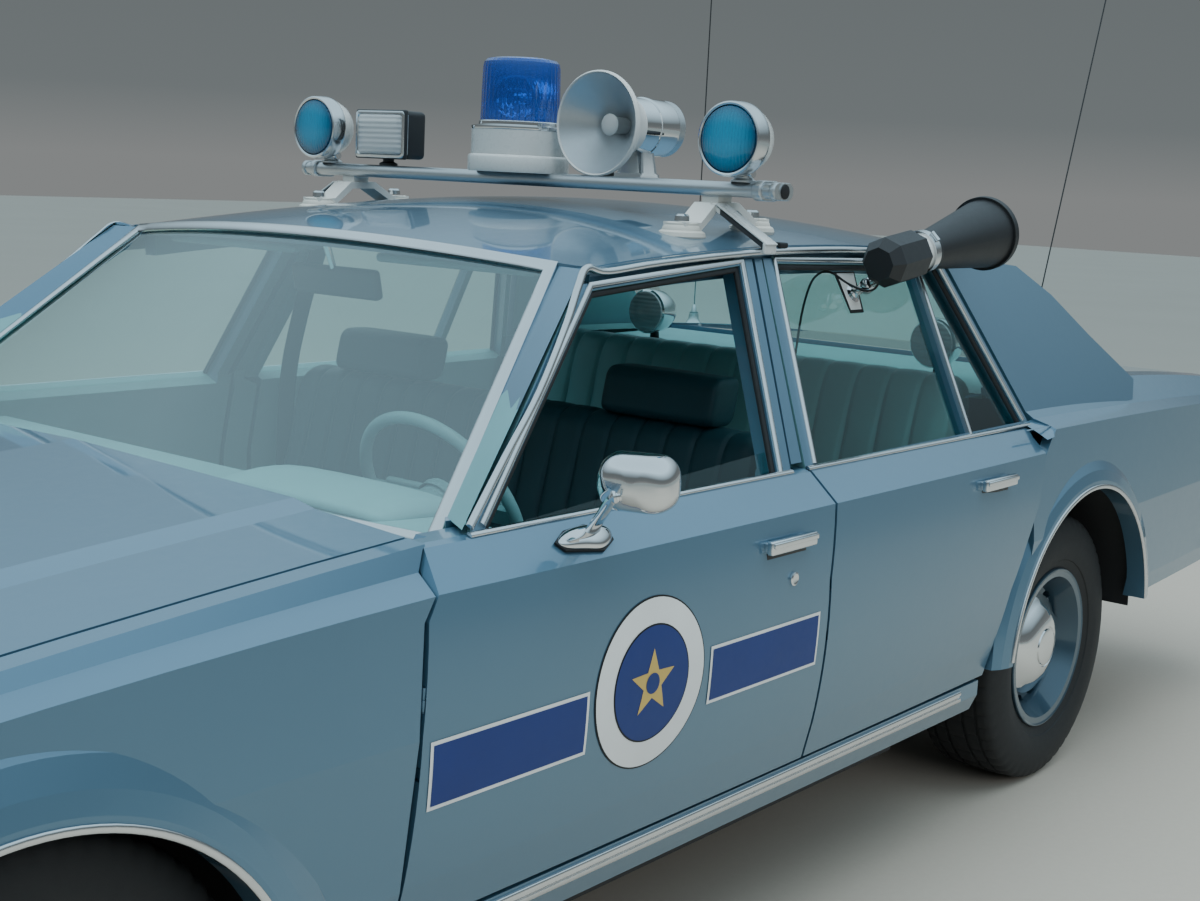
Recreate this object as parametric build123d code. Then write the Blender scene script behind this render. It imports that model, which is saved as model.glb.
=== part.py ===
from build123d import *
from math import cos, sin, radians, sqrt, atan2, degrees
import os

os.makedirs("parts", exist_ok=True)

# Full-size four-door patrol sedan, in millimetres. +X forward, +Y left, +Z up.
# The origin lies on the ground at the middle of the length and width.

# Overall car
car_length = 5387
nose_x = car_length / 2
tail_x = -car_length / 2
half_width = 965
wheelbase = 2946
front_axle_x = 1663
rear_axle_x = front_axle_x - wheelbase
panel_gap = 8
panel_thickness = 24

# Wheels
tyre_radius = 346
tyre_half_width = 111
rim_half_width = 95
bead_radius = 190.5
rim_lip_radius = 205
front_wheel_y = 785
rear_wheel_y = 772
steer_axis_inset = 73
hub_bore = 30
spindle_clearance = 0.05
front_arch = dict(x=1706, z=312, radius=411)
rear_arch = dict(x=rear_axle_x + 12, z=372, radius=404)
housing_radius_front = 455
housing_radius_rear = 428
housing_wall = 6

# Body side, drawn at the widest station and swept about a far upright axis
barrel_radius = 80000
barrel_x = 150
belt_y = 868
belt_z = 948
crease_z = 893
foot_z = 388
door_inner_y = 815

# Greenhouse wall: a flat leaning plane from the belt to the drip rail
rail_y = 687
rail_z = 1330
wall_lean = (belt_y - rail_y) / (rail_z - belt_z)
wall_depth = 45

# Roof
roof_crown_z = 1430
roof_crown_x = -350
roof_side_z = 1366
roof_half_width = 672
roof_length_radius = 7500
roof_thickness = 26
drip_rail_width = 16

# Hood line: top edge of the fenders where they meet the hood
hood_line_radius = 22000
hood_line_x = -314
hood_line_z = 992.6
hood_half_width = 836
hood_rear_x = 1004
hood_front_x = 2478
hood_thickness = 22
hood_open = 50

# Deck
deck_front_x = -1744
deck_front_z = 1015
deck_rear_x = -2600
deck_rear_z = 955
trunk_half_width = 742
trunk_thickness = 24

# Inside and under the body
floor_z = 316
floor_thickness = 6
floor_half_width = 800
kick_floor_z = 524
trunk_floor_z = 440
tunnel_half_width = 150
tunnel_top_z = 470
firewall_x = 1010
sill_top_z = 380
rail_width = 80
rear_bulkhead_x = -1110
shelf_z = 996

# Roof bar
bar_x = -150
bar_z = 1473
bar_half_length = 704
bar_width = 68
bar_height = 30
beacon_x = -141
beacon_base_radius = 108
beacon_base_height = 97
beacon_dome_radius = 90
beacon_top_z = 1738
siren_y = 235
siren_z = 1598
siren_mouth_x = -125
siren_mouth_radius = 110
lamp_y = 617
lamp_z = 1572
lamp_radius = 73
work_lamp_y = -430
work_lamp_z = 1561

parts = {}


def hood_line(x):
    return hood_line_z - (x - hood_line_x) ** 2 / (2 * hood_line_radius)


def deck_line(x):
    return deck_front_z + (x - deck_front_x) * (deck_rear_z - deck_front_z) / (deck_rear_x - deck_front_x)


def roof_edge_z(x):
    return roof_side_z - (x - roof_crown_x) ** 2 / (2 * roof_length_radius)


def wall_y(z):
    return belt_y - (z - belt_z) * wall_lean


def barrel_inset(x):
    return (x - barrel_x) ** 2 / (2 * barrel_radius)


def polygon(points):
    return make_face(Polyline(*points, close=True))


def block(x0, x1, y0, y1, z0, z1):
    return Pos((x0 + x1) / 2, (y0 + y1) / 2, (z0 + z1) / 2) * Box(abs(x1 - x0), abs(y1 - y0), abs(z1 - z0))


def side_prism(points, y0, y1):
    face = polygon([(x, y0, z) for x, z in points])
    return extrude(face, amount=y1 - y0, dir=(0, 1, 0))


def plan_prism(points, z0, z1):
    face = polygon([(x, y, z0) for x, y in points])
    return extrude(face, amount=z1 - z0, dir=(0, 0, 1))


def cross_prism(points, x0, x1):
    face = polygon([(x0, y, z) for y, z in points])
    return extrude(face, amount=x1 - x0, dir=(1, 0, 0))


def rod(start, end, radius):
    way = Vector(*end) - Vector(*start)
    seat = Plane(origin=start, z_dir=way)
    return seat * Cylinder(radius, way.length, align=(Align.CENTER, Align.CENTER, Align.MIN))


def disc_y(x, z, radius, y0, y1):
    return rod((x, y0, z), (x, y1, z), radius)


def right_of(shape):
    return mirror(shape, about=Plane.XZ)


def both_sides(shape):
    return Compound(children=[*shape.solids(), *right_of(shape).solids()])


def wall_prism(points, depth=wall_depth, taper=0, lift=0):
    """A plate on the leaning greenhouse wall, from outline points (x, z)."""
    out = Vector(0, 1, wall_lean).normalized()
    face = polygon([(x, wall_y(z) + out.Y * lift, z + out.Z * lift) for x, z in points])
    if taper:
        plane = Plane(origin=(0, wall_y(belt_z) + out.Y * lift, belt_z + out.Z * lift), x_dir=(1, 0, 0), z_dir=out)
        flat = [plane.to_local_coords(Vector(x, wall_y(z) + out.Y * lift, z + out.Z * lift)) for x, z in points]
        sketch = make_face(Polyline(*[(p.X, p.Y) for p in flat], close=True))
        solid = extrude(sketch, amount=depth, taper=taper)
        if solid.center().Z > 0:
            solid = mirror(solid, about=Plane.XY)
        return plane * solid
    return extrude(face, amount=depth, dir=(0, -out.Y, -out.Z))


def side_section(inset=0, inner_y=door_inner_y - 25, top_z=belt_z):
    """Section of the body side: belt, ledge, crease, belly, lower crease, foot."""
    x = barrel_x
    belt = (x, belt_y - inset, top_z)
    ledge = (x, belt_y + 14 - inset, top_z - 4)
    crease = (x, 949 - inset, crease_z)
    belly = (x, half_width - inset, 690)
    low = (x, 944 - inset, 463)
    foot = (x, 927 - inset, foot_z)
    edges = [
        Line(belt, ledge),
        Line(ledge, crease),
        ThreePointArc(crease, belly, low),
        Line(low, foot),
        Line(foot, (x, inner_y, foot_z)),
        Line((x, inner_y, foot_z), (x, inner_y, top_z)),
        Line((x, inner_y, top_z), belt),
    ]
    return make_face(edges)


def sweep_side(face, x0, x1):
    """Sweep a body-side section about the far upright axis, from x0 to x1."""
    axis = Axis((barrel_x, half_width - barrel_radius, 0), (0, 0, 1))
    a0 = degrees(atan2(x0 - barrel_x, barrel_radius))
    a1 = degrees(atan2(x1 - barrel_x, barrel_radius))
    solid = revolve(face, axis=axis, revolution_arc=abs(a1 - a0))
    return solid.rotate(axis, -a1)


def rounded_block(x0, x1, y0, y1, z0, z1, radius):
    solid = block(x0, x1, y0, y1, z0, z1)
    return fillet(solid.edges(), radius)


# Door outlines (x, z), the skin's edge seen from the side
front_door_skin = [
    (1002, 948), (1061, 858), (1077, 697), (1088, 452), (1089, 388),
    (0, 388), (0, 753), (-32, 925), (-36, 948),
]
front_door_core = [
    (960, 948), (1020, 858), (1034, 697), (1034, 402),
    (46, 402), (46, 753), (14, 925), (10, 948),
]
rear_door_skin = [
    (-44, 948), (-40, 925), (-8, 753), (-8, 388),
    (-790, 388), (-797, 470), (-832, 590), (-893, 700), (-950, 785), (-984, 880), (-1000, 925), (-1030, 948),
]
rear_door_core = [
    (-90, 948), (-86, 925), (-56, 753), (-56, 402),
    (-768, 402), (-776, 470), (-812, 590), (-873, 700), (-930, 785), (-962, 880), (-976, 925), (-1000, 948),
]

# Window openings and the frames around them (x, z) on the greenhouse wall
front_window = [(865, 951), (438, 1290), (-37, 1327), (57, 951)]
rear_window_side = [(-82, 951), (-169, 1330), (-840, 1318), (-1006, 957)]
front_frame = [(910, 940), (472, 1300), (-86, 1339), (14, 940)]
rear_frame = [(-39, 940), (-126, 1340), (-868, 1329), (-1046, 940)]
divider_x = -730
divider_width = 22


def door_shell(skin, core, frame, window):
    outer = sweep_side(side_section(), -1200, 1200)
    hollow = sweep_side(side_section(inset=panel_thickness), -1200, 1200)
    skin_part = (outer - hollow) & side_prism(skin, door_inner_y, 1000)
    core_part = hollow & side_prism(core, door_inner_y, 1000)
    frame_part = wall_prism(frame, taper=16)
    door = skin_part + core_part + frame_part
    hole = wall_prism(window, depth=140, lift=60)
    return door - hole


front_door = door_shell(front_door_skin, front_door_core, front_frame, front_window)
rear_door = door_shell(rear_door_skin, rear_door_core, rear_frame, rear_window_side)
divider = wall_prism(
    [(divider_x, 940), (divider_x - 6, 1330), (divider_x - 6 - divider_width, 1330), (divider_x - divider_width, 940)],
    depth=24, lift=-8,
)
rear_door = rear_door + divider

# Armrest and door pull on the inner face
armrest_front = block(120, 640, door_inner_y - 60, door_inner_y, 640, 700)
armrest_front = fillet(armrest_front.edges().group_by(Axis.Y)[0].filter_by(Axis.X), 16)
armrest_rear = block(-700, -260, door_inner_y - 60, door_inner_y, 640, 700)
armrest_rear = fillet(armrest_rear.edges().group_by(Axis.Y)[0].filter_by(Axis.X), 16)
front_door = front_door + armrest_front
rear_door = rear_door + armrest_rear

# Door glass: the front left pane is wound down, the others are up
glass_thickness = 5
glass_lift = -20
glass_fit = 0.3
window_hook_drop = 14


def inset_outline(points, amount):
    """Shrink a convex outline by a fixed amount on every side."""
    count = len(points)
    lines = []
    for i in range(count):
        (x0, z0), (x1, z1) = points[i], points[(i + 1) % count]
        length = sqrt((x1 - x0) ** 2 + (z1 - z0) ** 2)
        nx, nz = (z1 - z0) / length, -(x1 - x0) / length
        lines.append((nx, nz, nx * x0 + nz * z0))
    area = sum(points[i][0] * points[(i + 1) % count][1] - points[(i + 1) % count][0] * points[i][1]
               for i in range(count))
    turn = -1 if area > 0 else 1
    result = []
    for i in range(count):
        a, b = lines[i - 1], lines[i]
        da, db = a[2] + turn * amount, b[2] + turn * amount
        det = a[0] * b[1] - b[0] * a[1]
        result.append(((da * b[1] - db * a[1]) / det, (a[0] * db - b[0] * da) / det))
    return result


front_pane = wall_prism(inset_outline(front_window, glass_fit), glass_thickness, lift=glass_lift)


def on_line(start, end, x):
    share = (x - start[0]) / (end[0] - start[0])
    return (x, start[1] + share * (end[1] - start[1]))


sill_line = (rear_window_side[0], rear_window_side[3])
head_line = (rear_window_side[1], rear_window_side[2])
rear_pane_outline = [sill_line[0], head_line[0], on_line(*head_line, divider_x - 6), on_line(*sill_line, divider_x)]
rear_pane = wall_prism(inset_outline(rear_pane_outline, glass_fit), glass_thickness, lift=glass_lift)
lowered_head = [(x, z - window_hook_drop) for x, z in head_line]
hooked_outline = [sill_line[0], (-166.6, lowered_head[0][1]), on_line(*lowered_head, divider_x - 5.6), on_line(*sill_line, divider_x)]
hooked_pane = wall_prism(inset_outline(hooked_outline, glass_fit), glass_thickness, lift=glass_lift)
quarter_pane_outline = [
    on_line(*sill_line, divider_x - divider_width), on_line(*head_line, divider_x - 6 - divider_width),
    head_line[1], sill_line[1],
]
quarter_pane = wall_prism(inset_outline(quarter_pane_outline, glass_fit), glass_thickness, lift=glass_lift)
lowered_pane = wall_prism(inset_outline([(770, 951), (760, 955), (48, 992), (57, 951)], glass_fit),
                          glass_thickness, lift=glass_lift)

# Door hinges: a fixed arm and pin reach into a slot behind the skin's front edge
hinge_pin_radius = 4
hinge_play = 0.05
hinge_slot_y = 6.3
hinges = dict(front=dict(x=1070, y=951, heights=(640, 740)), rear=dict(x=-22, y=956, heights=(640, 740)))


def hinge_arms(place):
    arms = []
    for z in place["heights"]:
        arm = block(place["x"] - 5.5, place["x"] + 5.5, 900, place["y"], z - 8, z + 8)
        arm = arm + rod((place["x"], place["y"], z - 8), (place["x"], place["y"], z + 8), 5.5)
        arms.append(arm + rod((place["x"], place["y"], z - 26), (place["x"], place["y"], z + 26), hinge_pin_radius))
    return arms


def cut_hinges(door, place):
    for z in place["heights"]:
        door = door - block(place["x"] - 14, place["x"] + 30, 880, place["y"] + hinge_slot_y, z - 11, z + 11)
        door = door - rod((place["x"], place["y"], z - 27), (place["x"], place["y"], z + 27), hinge_pin_radius + hinge_play)
    return door


front_door = cut_hinges(front_door, hinges["front"])
rear_door = cut_hinges(rear_door, hinges["rear"])
parts["door_front_left"] = front_door
parts["door_front_right"] = right_of(front_door)
parts["door_rear_left"] = rear_door
parts["door_rear_right"] = right_of(rear_door)
parts["glass_front_left"] = lowered_pane
parts["glass_front_right"] = right_of(front_pane)
parts["glass_rear_left"] = Compound(children=[hooked_pane.solid(), quarter_pane.solid()])
parts["glass_rear_right"] = right_of(Compound(children=[rear_pane.solid(), quarter_pane.solid()]))

# Pillars between and in front of the doors
pillar_space = sweep_side(side_section(inset=panel_thickness + 18, top_z=belt_z + 8), -1200, 1300)
pillar_foot = block(-2000, 2000, door_inner_y, 885, sill_top_z, 400)
pillar_space = (pillar_space + pillar_foot) & block(-2000, 2000, door_inner_y, 1000, sill_top_z, belt_z + 8)
hinge_pillar = pillar_space & side_prism([(1048, 300), (1048, 700), (1034, 858), (1034, 880), (1100, 880), (1100, 300)], 700, 1000)
hinge_pillar = hinge_pillar - block(1000, 1200, 896, 1000, 840, 900)
centre_low = pillar_space & side_prism([(-42, 300), (-42, 753), (-72, 915), (-30, 934), (-30, 956), (3, 956), (3, 934), (1, 915), (32, 753), (32, 300)], 700, 1000)
centre_low = centre_low - block(-100, 100, 842, 1000, 940, 1000)
centre_up = wall_prism([(3, 960), (-34, 960), (-121, 1340), (-95, 1340)])
centre_pillar = centre_low + centre_up
for arm in hinge_arms(hinges["rear"]):
    centre_pillar = centre_pillar + arm
for arm in hinge_arms(hinges["front"]):
    hinge_pillar = hinge_pillar + arm

pillar_low = polygon([(912, 864, 956), (858, 775, 956), (838, 780, 956), (866, 812, 956)])
pillar_high = polygon([(446, 690, 1326), (424, 602, 1326), (400, 606, 1326), (420, 640, 1326)])
windshield_pillar = loft([pillar_low, pillar_high], ruled=True)
windshield_pillar = windshield_pillar + plan_prism([(838, 780), (858, 775), (888, 806), (866, 811)], 905, 957)

# Sills under the doors
sill_outer_y = floor_half_width + 122
sill_front_x = 1215
sill_rear_x = rear_axle_x + 513
sill = cross_prism([
    (floor_half_width, 306), (sill_outer_y - 17, 306), (sill_outer_y, 345), (sill_outer_y, sill_top_z), (floor_half_width, sill_top_z),
], sill_rear_x, sill_front_x)
parts["sills"] = both_sides(sill)

# Roof: arcs across, and rails turned about a far crosswise axis
roof_axis = Axis((roof_crown_x, 0, roof_side_z - roof_length_radius), (0, 1, 0))


def roof_section(x, side_z, centre_z):
    half = roof_half_width
    deep = roof_thickness
    edges = [
        ThreePointArc((x, -half, side_z), (x, 0, centre_z), (x, half, side_z)),
        Line((x, half, side_z), (x, half, side_z - deep)),
        ThreePointArc((x, half, side_z - deep), (x, 0, centre_z - deep), (x, -half, side_z - deep)),
        Line((x, -half, side_z - deep), (x, -half, side_z)),
    ]
    return make_face(edges)


def roof_strip(points, a_front, a_rear):
    """A strip along the roof side, from section points (y, z) at the crown station."""
    face = polygon([(roof_crown_x, y, z) for y, z in points])
    solid = revolve(face, axis=roof_axis, revolution_arc=a_front + a_rear)
    return solid.rotate(roof_axis, -a_rear)


# columns: station x, height at the middle; the side height follows the drip rail
roof_stations = [(520, 1349), (60, 1416), (-560, 1430), (-1260, 1360)]
roof_faces = [roof_section(x, roof_edge_z(x), centre) for x, centre in roof_stations]
roof_front = [(499, 0), (496, 125), (487.5, 250), (474.5, 365), (456.5, 480), (444.5, 545), (431.5, 606), (419, 650), (400, roof_half_width + 10)]
roof_back = [(-1176, roof_half_width + 10), (-1222, roof_half_width - 62), (-1246, 400), (-1252, 0)]
roof_half_plan = roof_front + roof_back
roof_plan = roof_half_plan + [(x, -y) for x, y in roof_half_plan[-2:0:-1]]
roof_skin = loft(roof_faces) & plan_prism(roof_plan, 1100, 1500)
drip_top = roof_side_z - 1
drip_low = roof_side_z - 9
drip_outer_y = roof_half_width + drip_rail_width
drip_inner_y = roof_half_width - 20
drip_strip = roof_strip([(drip_inner_y, drip_top), (drip_outer_y, drip_top), (drip_outer_y, drip_low), (drip_inner_y, drip_low)], 6, 6.2)
rail_outer_y = roof_half_width - 40
rail_strip = roof_strip([(rail_outer_y - 42, 1352), (rail_outer_y, 1352), (rail_outer_y, 1302), (rail_outer_y - 36, 1302)], 5.8, 6.2)
roof_panel = roof_skin + drip_strip + right_of(drip_strip) + rail_strip + right_of(rail_strip)
parts["roof_panel"] = roof_panel

windshield_pillar = windshield_pillar - roof_panel
centre_pillar = centre_pillar - roof_panel
parts["windshield_pillars"] = both_sides(max(windshield_pillar.solids(), key=lambda s: s.volume))
parts["hinge_pillars"] = both_sides(hinge_pillar)
parts["centre_pillars"] = both_sides(max(centre_pillar.solids(), key=lambda s: s.volume))


# Fenders and quarters: bands through a few sections, each row one corner of the section
def band_face(x, outer, thickness, top_drop):
    """Closed section at station x from outer points (y, z), thickened inwards."""
    inner = [(y - thickness, z - (top_drop if i < 3 else 0)) for i, (y, z) in enumerate(outer)]
    inner[0] = (outer[0][0], outer[0][1] - top_drop)
    inner[1] = (outer[0][0] + 4, outer[0][1] - top_drop)
    loop = outer + inner[:1:-1] + inner[1::-1]
    return polygon([(x, y, z) for y, z in loop])


# columns: x, hood edge y, ridge y, valley (y, z), crease (y, z), belly y, low y, foot (y, z)
fender_stations = [
    dict(x=hood_rear_x, valley=(893, 916), crease=(945, 893), belly=(961, 690), low=(940, 463), foot=(923, foot_z)),
    dict(x=1745, valley=(893, 873), crease=(936, 859), belly=(951, 690), low=(934, 463), foot=(920, foot_z)),
    dict(x=2490, valley=(884, 800), crease=(912, 784), belly=(922, 640), low=(908, 480), foot=(898, 420)),
]
fender_faces = []
for row in fender_stations:
    top = hood_line(row["x"])
    outer = [(hood_half_width + panel_gap, top), (878, top - 3), row["valley"], row["crease"], row["belly"], row["low"], row["foot"]]
    fender_faces.append(band_face(row["x"], outer, panel_thickness, 18))
fender = loft(fender_faces)
fender_rear_cut = side_prism([(900, 1000), (1010, 944), (1069, 858), (1085, 697), (1096, 452), (1097, 380), (900, 380)], 700, 1000)
front_arch_cut = disc_y(front_arch["x"], front_arch["z"], front_arch["radius"], 600, 1000)
# columns: distance from the arch centre, y
front_flare = [(0, 968), (20, 967), (50, 960), (89, 946), (119, 925), (119, 915), (0, 915)]


def flare_ring(arch, rows, keep):
    face = polygon([(arch["x"] + arch["radius"] + r, y, arch["z"]) for r, y in rows])
    ring = revolve(face, axis=Axis((arch["x"], 0, arch["z"]), (0, 1, 0)), revolution_arc=360)
    return ring & side_prism(keep, 700, 1100)


fender = fender + flare_ring(front_arch, front_flare, [(1100, 389), (1745, 390), (2120, 405), (2300, 412), (2300, 900), (1100, 900)])
fender = fender - fender_rear_cut - front_arch_cut
parts["front_fenders"] = both_sides(fender)

# columns: x, deck edge y, corner (y, z), ledge (y, z), crease (y, z), belly, low, foot
quarter_stations = [
    dict(x=-930, edge=1024, corner=(800, 1020), ledge=(872, 962), crease=(932, 943), belly=(957, 690), low=(937, 470), foot=(925, 400)),
    dict(x=-1800, edge=1015, corner=(800, 1010), ledge=(868, 948), crease=(920, 932), belly=(944, 700), low=(932, 480), foot=(922, 430)),
    dict(x=-2590, edge=958, corner=(800, 954), ledge=(846, 916), crease=(890, 902), belly=(914, 700), low=(906, 500), foot=(900, 450)),
]
quarter_faces = []
for row in quarter_stations:
    outer = [(trunk_half_width + panel_gap, row["edge"]), row["corner"], row["ledge"], row["crease"], row["belly"], row["low"], row["foot"]]
    quarter_faces.append(band_face(row["x"], outer, panel_thickness, 18))
quarter = loft(quarter_faces)
rear_flare = [(0, 960), (20, 959), (46, 952), (70, 938), (86, 922), (86, 912), (0, 912)]
quarter = quarter + flare_ring(rear_arch, rear_flare, [(-700, 400), (-930, 401), (-1800, 431), (-1860, 432), (-1860, 1000), (-700, 1000)])
roof_pillar = wall_prism([(-872, 1344), (-1054, 948), (-1060, 930), (-1700, 960), (-1752, 1008), (-1560, 1132), (-1412, 1238), (-1262, 1312)], depth=40)
door_room = [(x - panel_gap, z) for x, z in rear_door_skin[3:]]
quarter_front_cut = side_prism([(-700, 300)] + [(-700, 948)] + [(-1062, 948)] + [(-1034, 925)] + [(x - panel_gap, z) for x, z in rear_door_skin[-3:3:-1]] + [(-798, 300)], 700, 1000)
frame_room = wall_prism([(-700, 930), (-700, 1400), (-855, 1400), (-880, 1346), (-1057, 950), (-1062, 930)], depth=120, lift=40)
rear_arch_cut = disc_y(rear_arch["x"], rear_arch["z"], rear_arch["radius"], 600, 1000)
quarter = quarter + roof_pillar
quarter = quarter - quarter_front_cut - frame_room - rear_arch_cut - roof_panel
quarter = max(quarter.solids(), key=lambda s: s.volume)
parts["quarter_panels"] = both_sides(quarter)

# Hood: raised centre, turned about the far axis of the hood line
hood_axis = Axis((hood_line_x, 0, hood_line_z - hood_line_radius), (0, 1, 0))
hood_rise = [(-hood_half_width, 0), (-640, 10), (-590, 20), (0, 32), (590, 20), (640, 10), (hood_half_width, 0)]
hood_top = [(y, hood_line_z + rise) for y, rise in hood_rise]
hood_under = [(y, z - hood_thickness) for y, z in reversed(hood_top)]
hood_section = polygon([(hood_line_x, y, z) for y, z in hood_top + hood_under])
hood_a0 = degrees((hood_rear_x - hood_line_x) / hood_line_radius)
hood_a1 = degrees((hood_front_x - hood_line_x) / hood_line_radius)
hood = revolve(hood_section, axis=hood_axis, revolution_arc=hood_a1 - hood_a0).rotate(hood_axis, hood_a0)
parts["hood"] = hood

# Rubber stops that carry the closed hood on the fenders
stop_play = 0.3
for x in (1215, 2330):
    edge_z = hood_line(x)
    stop = block(x - 20, x + 20, 806, 866, edge_z - 36, edge_z - 15) - Pos(0, 0, -stop_play) * hood
    stop = max(stop.solids(), key=lambda s: s.volume)
    fender = fender + stop
parts["front_fenders"] = both_sides(fender)

# Cowl and firewall between the hood and the windshield
cowl = side_prism([(890, 880), (890, 905), (935, 918), (996, 946), (996, 900), (firewall_x + 12, 880)], -810, 810)
firewall = block(firewall_x, firewall_x + 12, -door_inner_y, door_inner_y, floor_z, 885)
firewall = firewall - block(firewall_x - 5, firewall_x + 20, -tunnel_half_width, tunnel_half_width, 300, tunnel_top_z - 6)
for s in (1, -1):
    cowl = cowl + block(834, 900, s * 768, s * 812, 878, 905)
parts["cowl_panel"] = cowl + firewall - sill - right_of(sill)

# Trunk lid with its turned-down rear face
trunk_outline = [
    (deck_front_x - panel_gap, deck_front_z), (deck_rear_x, deck_rear_z), (deck_rear_x - 22, deck_rear_z - 14), (deck_rear_x - 26, 872),
    (deck_rear_x - 2, 872), (deck_rear_x + 2, deck_rear_z - trunk_thickness - 6), (deck_front_x - panel_gap, deck_front_z - trunk_thickness),
]
trunk_lid = side_prism(trunk_outline, -trunk_half_width, trunk_half_width)
parts["trunk_lid"] = trunk_lid
for x in (-1900, -2480):
    under_z = deck_line(x) - trunk_thickness
    stop = block(x - 20, x + 20, 700, 775, under_z - 22, under_z + 10) - Pos(0, 0, -stop_play) * trunk_lid
    stop = max(stop.solids(), key=lambda s: s.volume)
    quarter = quarter + stop
parts["quarter_panels"] = both_sides(quarter)

# Rear panel below the lid, with pockets for the lamps
rear_panel = block(-2618, -2590, -880, 880, 545, 864)
corner_plate = cross_prism([(750, 545), (898, 545), (912, 700), (886, 900), (845, 913), (800, 951), (750, 955)], -2618, -2590)
rear_panel = rear_panel + corner_plate + right_of(corner_plate)
lamp_columns = [(470, 590), (602, 722), (734, 854)]
for y0, y1 in lamp_columns:
    for side in (1, -1):
        rear_panel = rear_panel - block(-2630, -2600, side * y0, side * y1, 690, 820)
plate_z = 640
plate_spacing = dict(y=178, z=121)
plate_hole_radius = 3.5
for y in (-plate_spacing["y"] / 2, plate_spacing["y"] / 2):
    for z in (plate_z - plate_spacing["z"] / 2, plate_z + plate_spacing["z"] / 2):
        rear_panel = rear_panel - rod((-2640, y, z), (-2580, y, z), plate_hole_radius)
parts["rear_panel"] = rear_panel
tail_solids = []
for y0, y1 in lamp_columns:
    for side in (1, -1):
        tail_solids.append(block(-2626, -2600, side * (y0 + 0.3), side * (y1 - 0.3), 690.3, 819.7))
parts["tail_lamps"] = Compound(children=[s.solid() for s in tail_solids])

# Filler panel between the rear window and the trunk lid
deck_filler = side_prism([(-1700, 1008), (-1700, 1022), (deck_front_x, 1018), (deck_front_x, 990)], -740, 740)

# Nose panel with grille opening and lamp pockets
nose_top = hood_line(hood_front_x + 12)
grille_half_width = 430
grille_low = 652
grille_high = 786
nose_panel = side_prism([(2490, 630), (2490, nose_top), (2560, nose_top - 12), (2588, nose_top - 40), (2588, 630)], -918, 918)
nose_panel = nose_panel & plan_prism([(2490, -916), (2490, 916), (2545, 908), (2575, 886), (2588, 860), (2588, -860), (2575, -886), (2545, -908)], 600, 900)
nose_panel = nose_panel - block(2400, 2700, -grille_half_width, grille_half_width, grille_low, grille_high)
head_columns = [(462, 640), (664, 842)]
for y0, y1 in head_columns:
    for side in (1, -1):
        nose_panel = nose_panel - block(2530, 2700, side * y0, side * y1, 662, 776)
parts["nose_panel"] = nose_panel
lamp_solids = []
for y0, y1 in head_columns:
    for side in (1, -1):
        glass = block(2530, 2578, side * (y0 + 0.3), side * (y1 - 0.3), 662.3, 775.7)
        lamp_solids.append(fillet(glass.edges().group_by(Axis.X)[-1], 6).solid())
parts["head_lamps"] = Compound(children=lamp_solids)

# Egg-crate grille: a plate with rows and columns of square windows
grille_depth = 26
grille_bar = 6
grille_count = dict(across=20, up=4)
grille = block(2556, 2556 + grille_depth, -grille_half_width + 0.3, grille_half_width - 0.3, grille_low + 0.3, grille_high - 0.3)
cell_w = (2 * grille_half_width - grille_bar) / grille_count["across"]
cell_h = (grille_high - grille_low - grille_bar) / grille_count["up"]
cells = []
for i in range(grille_count["across"]):
    for j in range(grille_count["up"]):
        y0 = -grille_half_width + grille_bar + i * cell_w
        z0 = grille_low + grille_bar + j * cell_h
        cells.append(block(2540, 2600, y0, y0 + cell_w - grille_bar, z0, z0 + cell_h - grille_bar))
grille = grille - cells
parts["grille"] = grille


# Bumpers: a bar that wraps the corners, with a raised middle face
def bumper(face_x, depth, wrap_x, z0, z1):
    s = 1 if face_x > 0 else -1
    plan = [
        (face_x, 0), (face_x, 700), (face_x - s * 22, 860), (face_x - s * 75, 945), (face_x - s * 130, 962), (wrap_x, 962),
        (wrap_x, 934), (face_x - s * 118, 934), (face_x - s * depth, 905), (face_x - s * depth, 0),
    ]
    full = plan + [(x, -y) for x, y in plan[-2:0:-1]]
    bar = plan_prism(full, z0, z1)
    outer = [e for e in bar.edges() if abs(e.center().Z - z0) < 1 or abs(e.center().Z - z1) < 1]
    outer = [e for e in outer if (e @ 0.5).X * s > abs(face_x) - 78 and abs((e @ 0).X - (e @ 1).X) < 120 and (e @ 0.5).X * s > abs(face_x) - depth + 5]
    return chamfer(outer, 12)


bumper_z0 = 452
bumper_z1 = 614
front_bumper = bumper(nose_x, 84, 2330, bumper_z0, bumper_z1)
rear_bumper = bumper(tail_x, 66, -2330, bumper_z0, bumper_z1)
front_brackets = [block(2470, nose_x - 84, s * 420 - 30, s * 420 + 30, 470, 560) for s in (1, -1)]
parts["front_bumper"] = front_bumper
parts["rear_bumper"] = rear_bumper

# Windshield and rear window: bowed sheets between an arc at the base and one at the top
shield_thickness = 6
# columns: x at the middle, z there, x at the corner, half width, z there
shield_arcs = dict(base=(978, 906.6, 915.8, 796.6, 904.2), top=(500, 1350, 432, 606, 1321))
back_arcs = dict(base=(-1740, 1009, -1708, 783, 1009), top=(-1248, 1355, -1199, 640, 1312))


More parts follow.
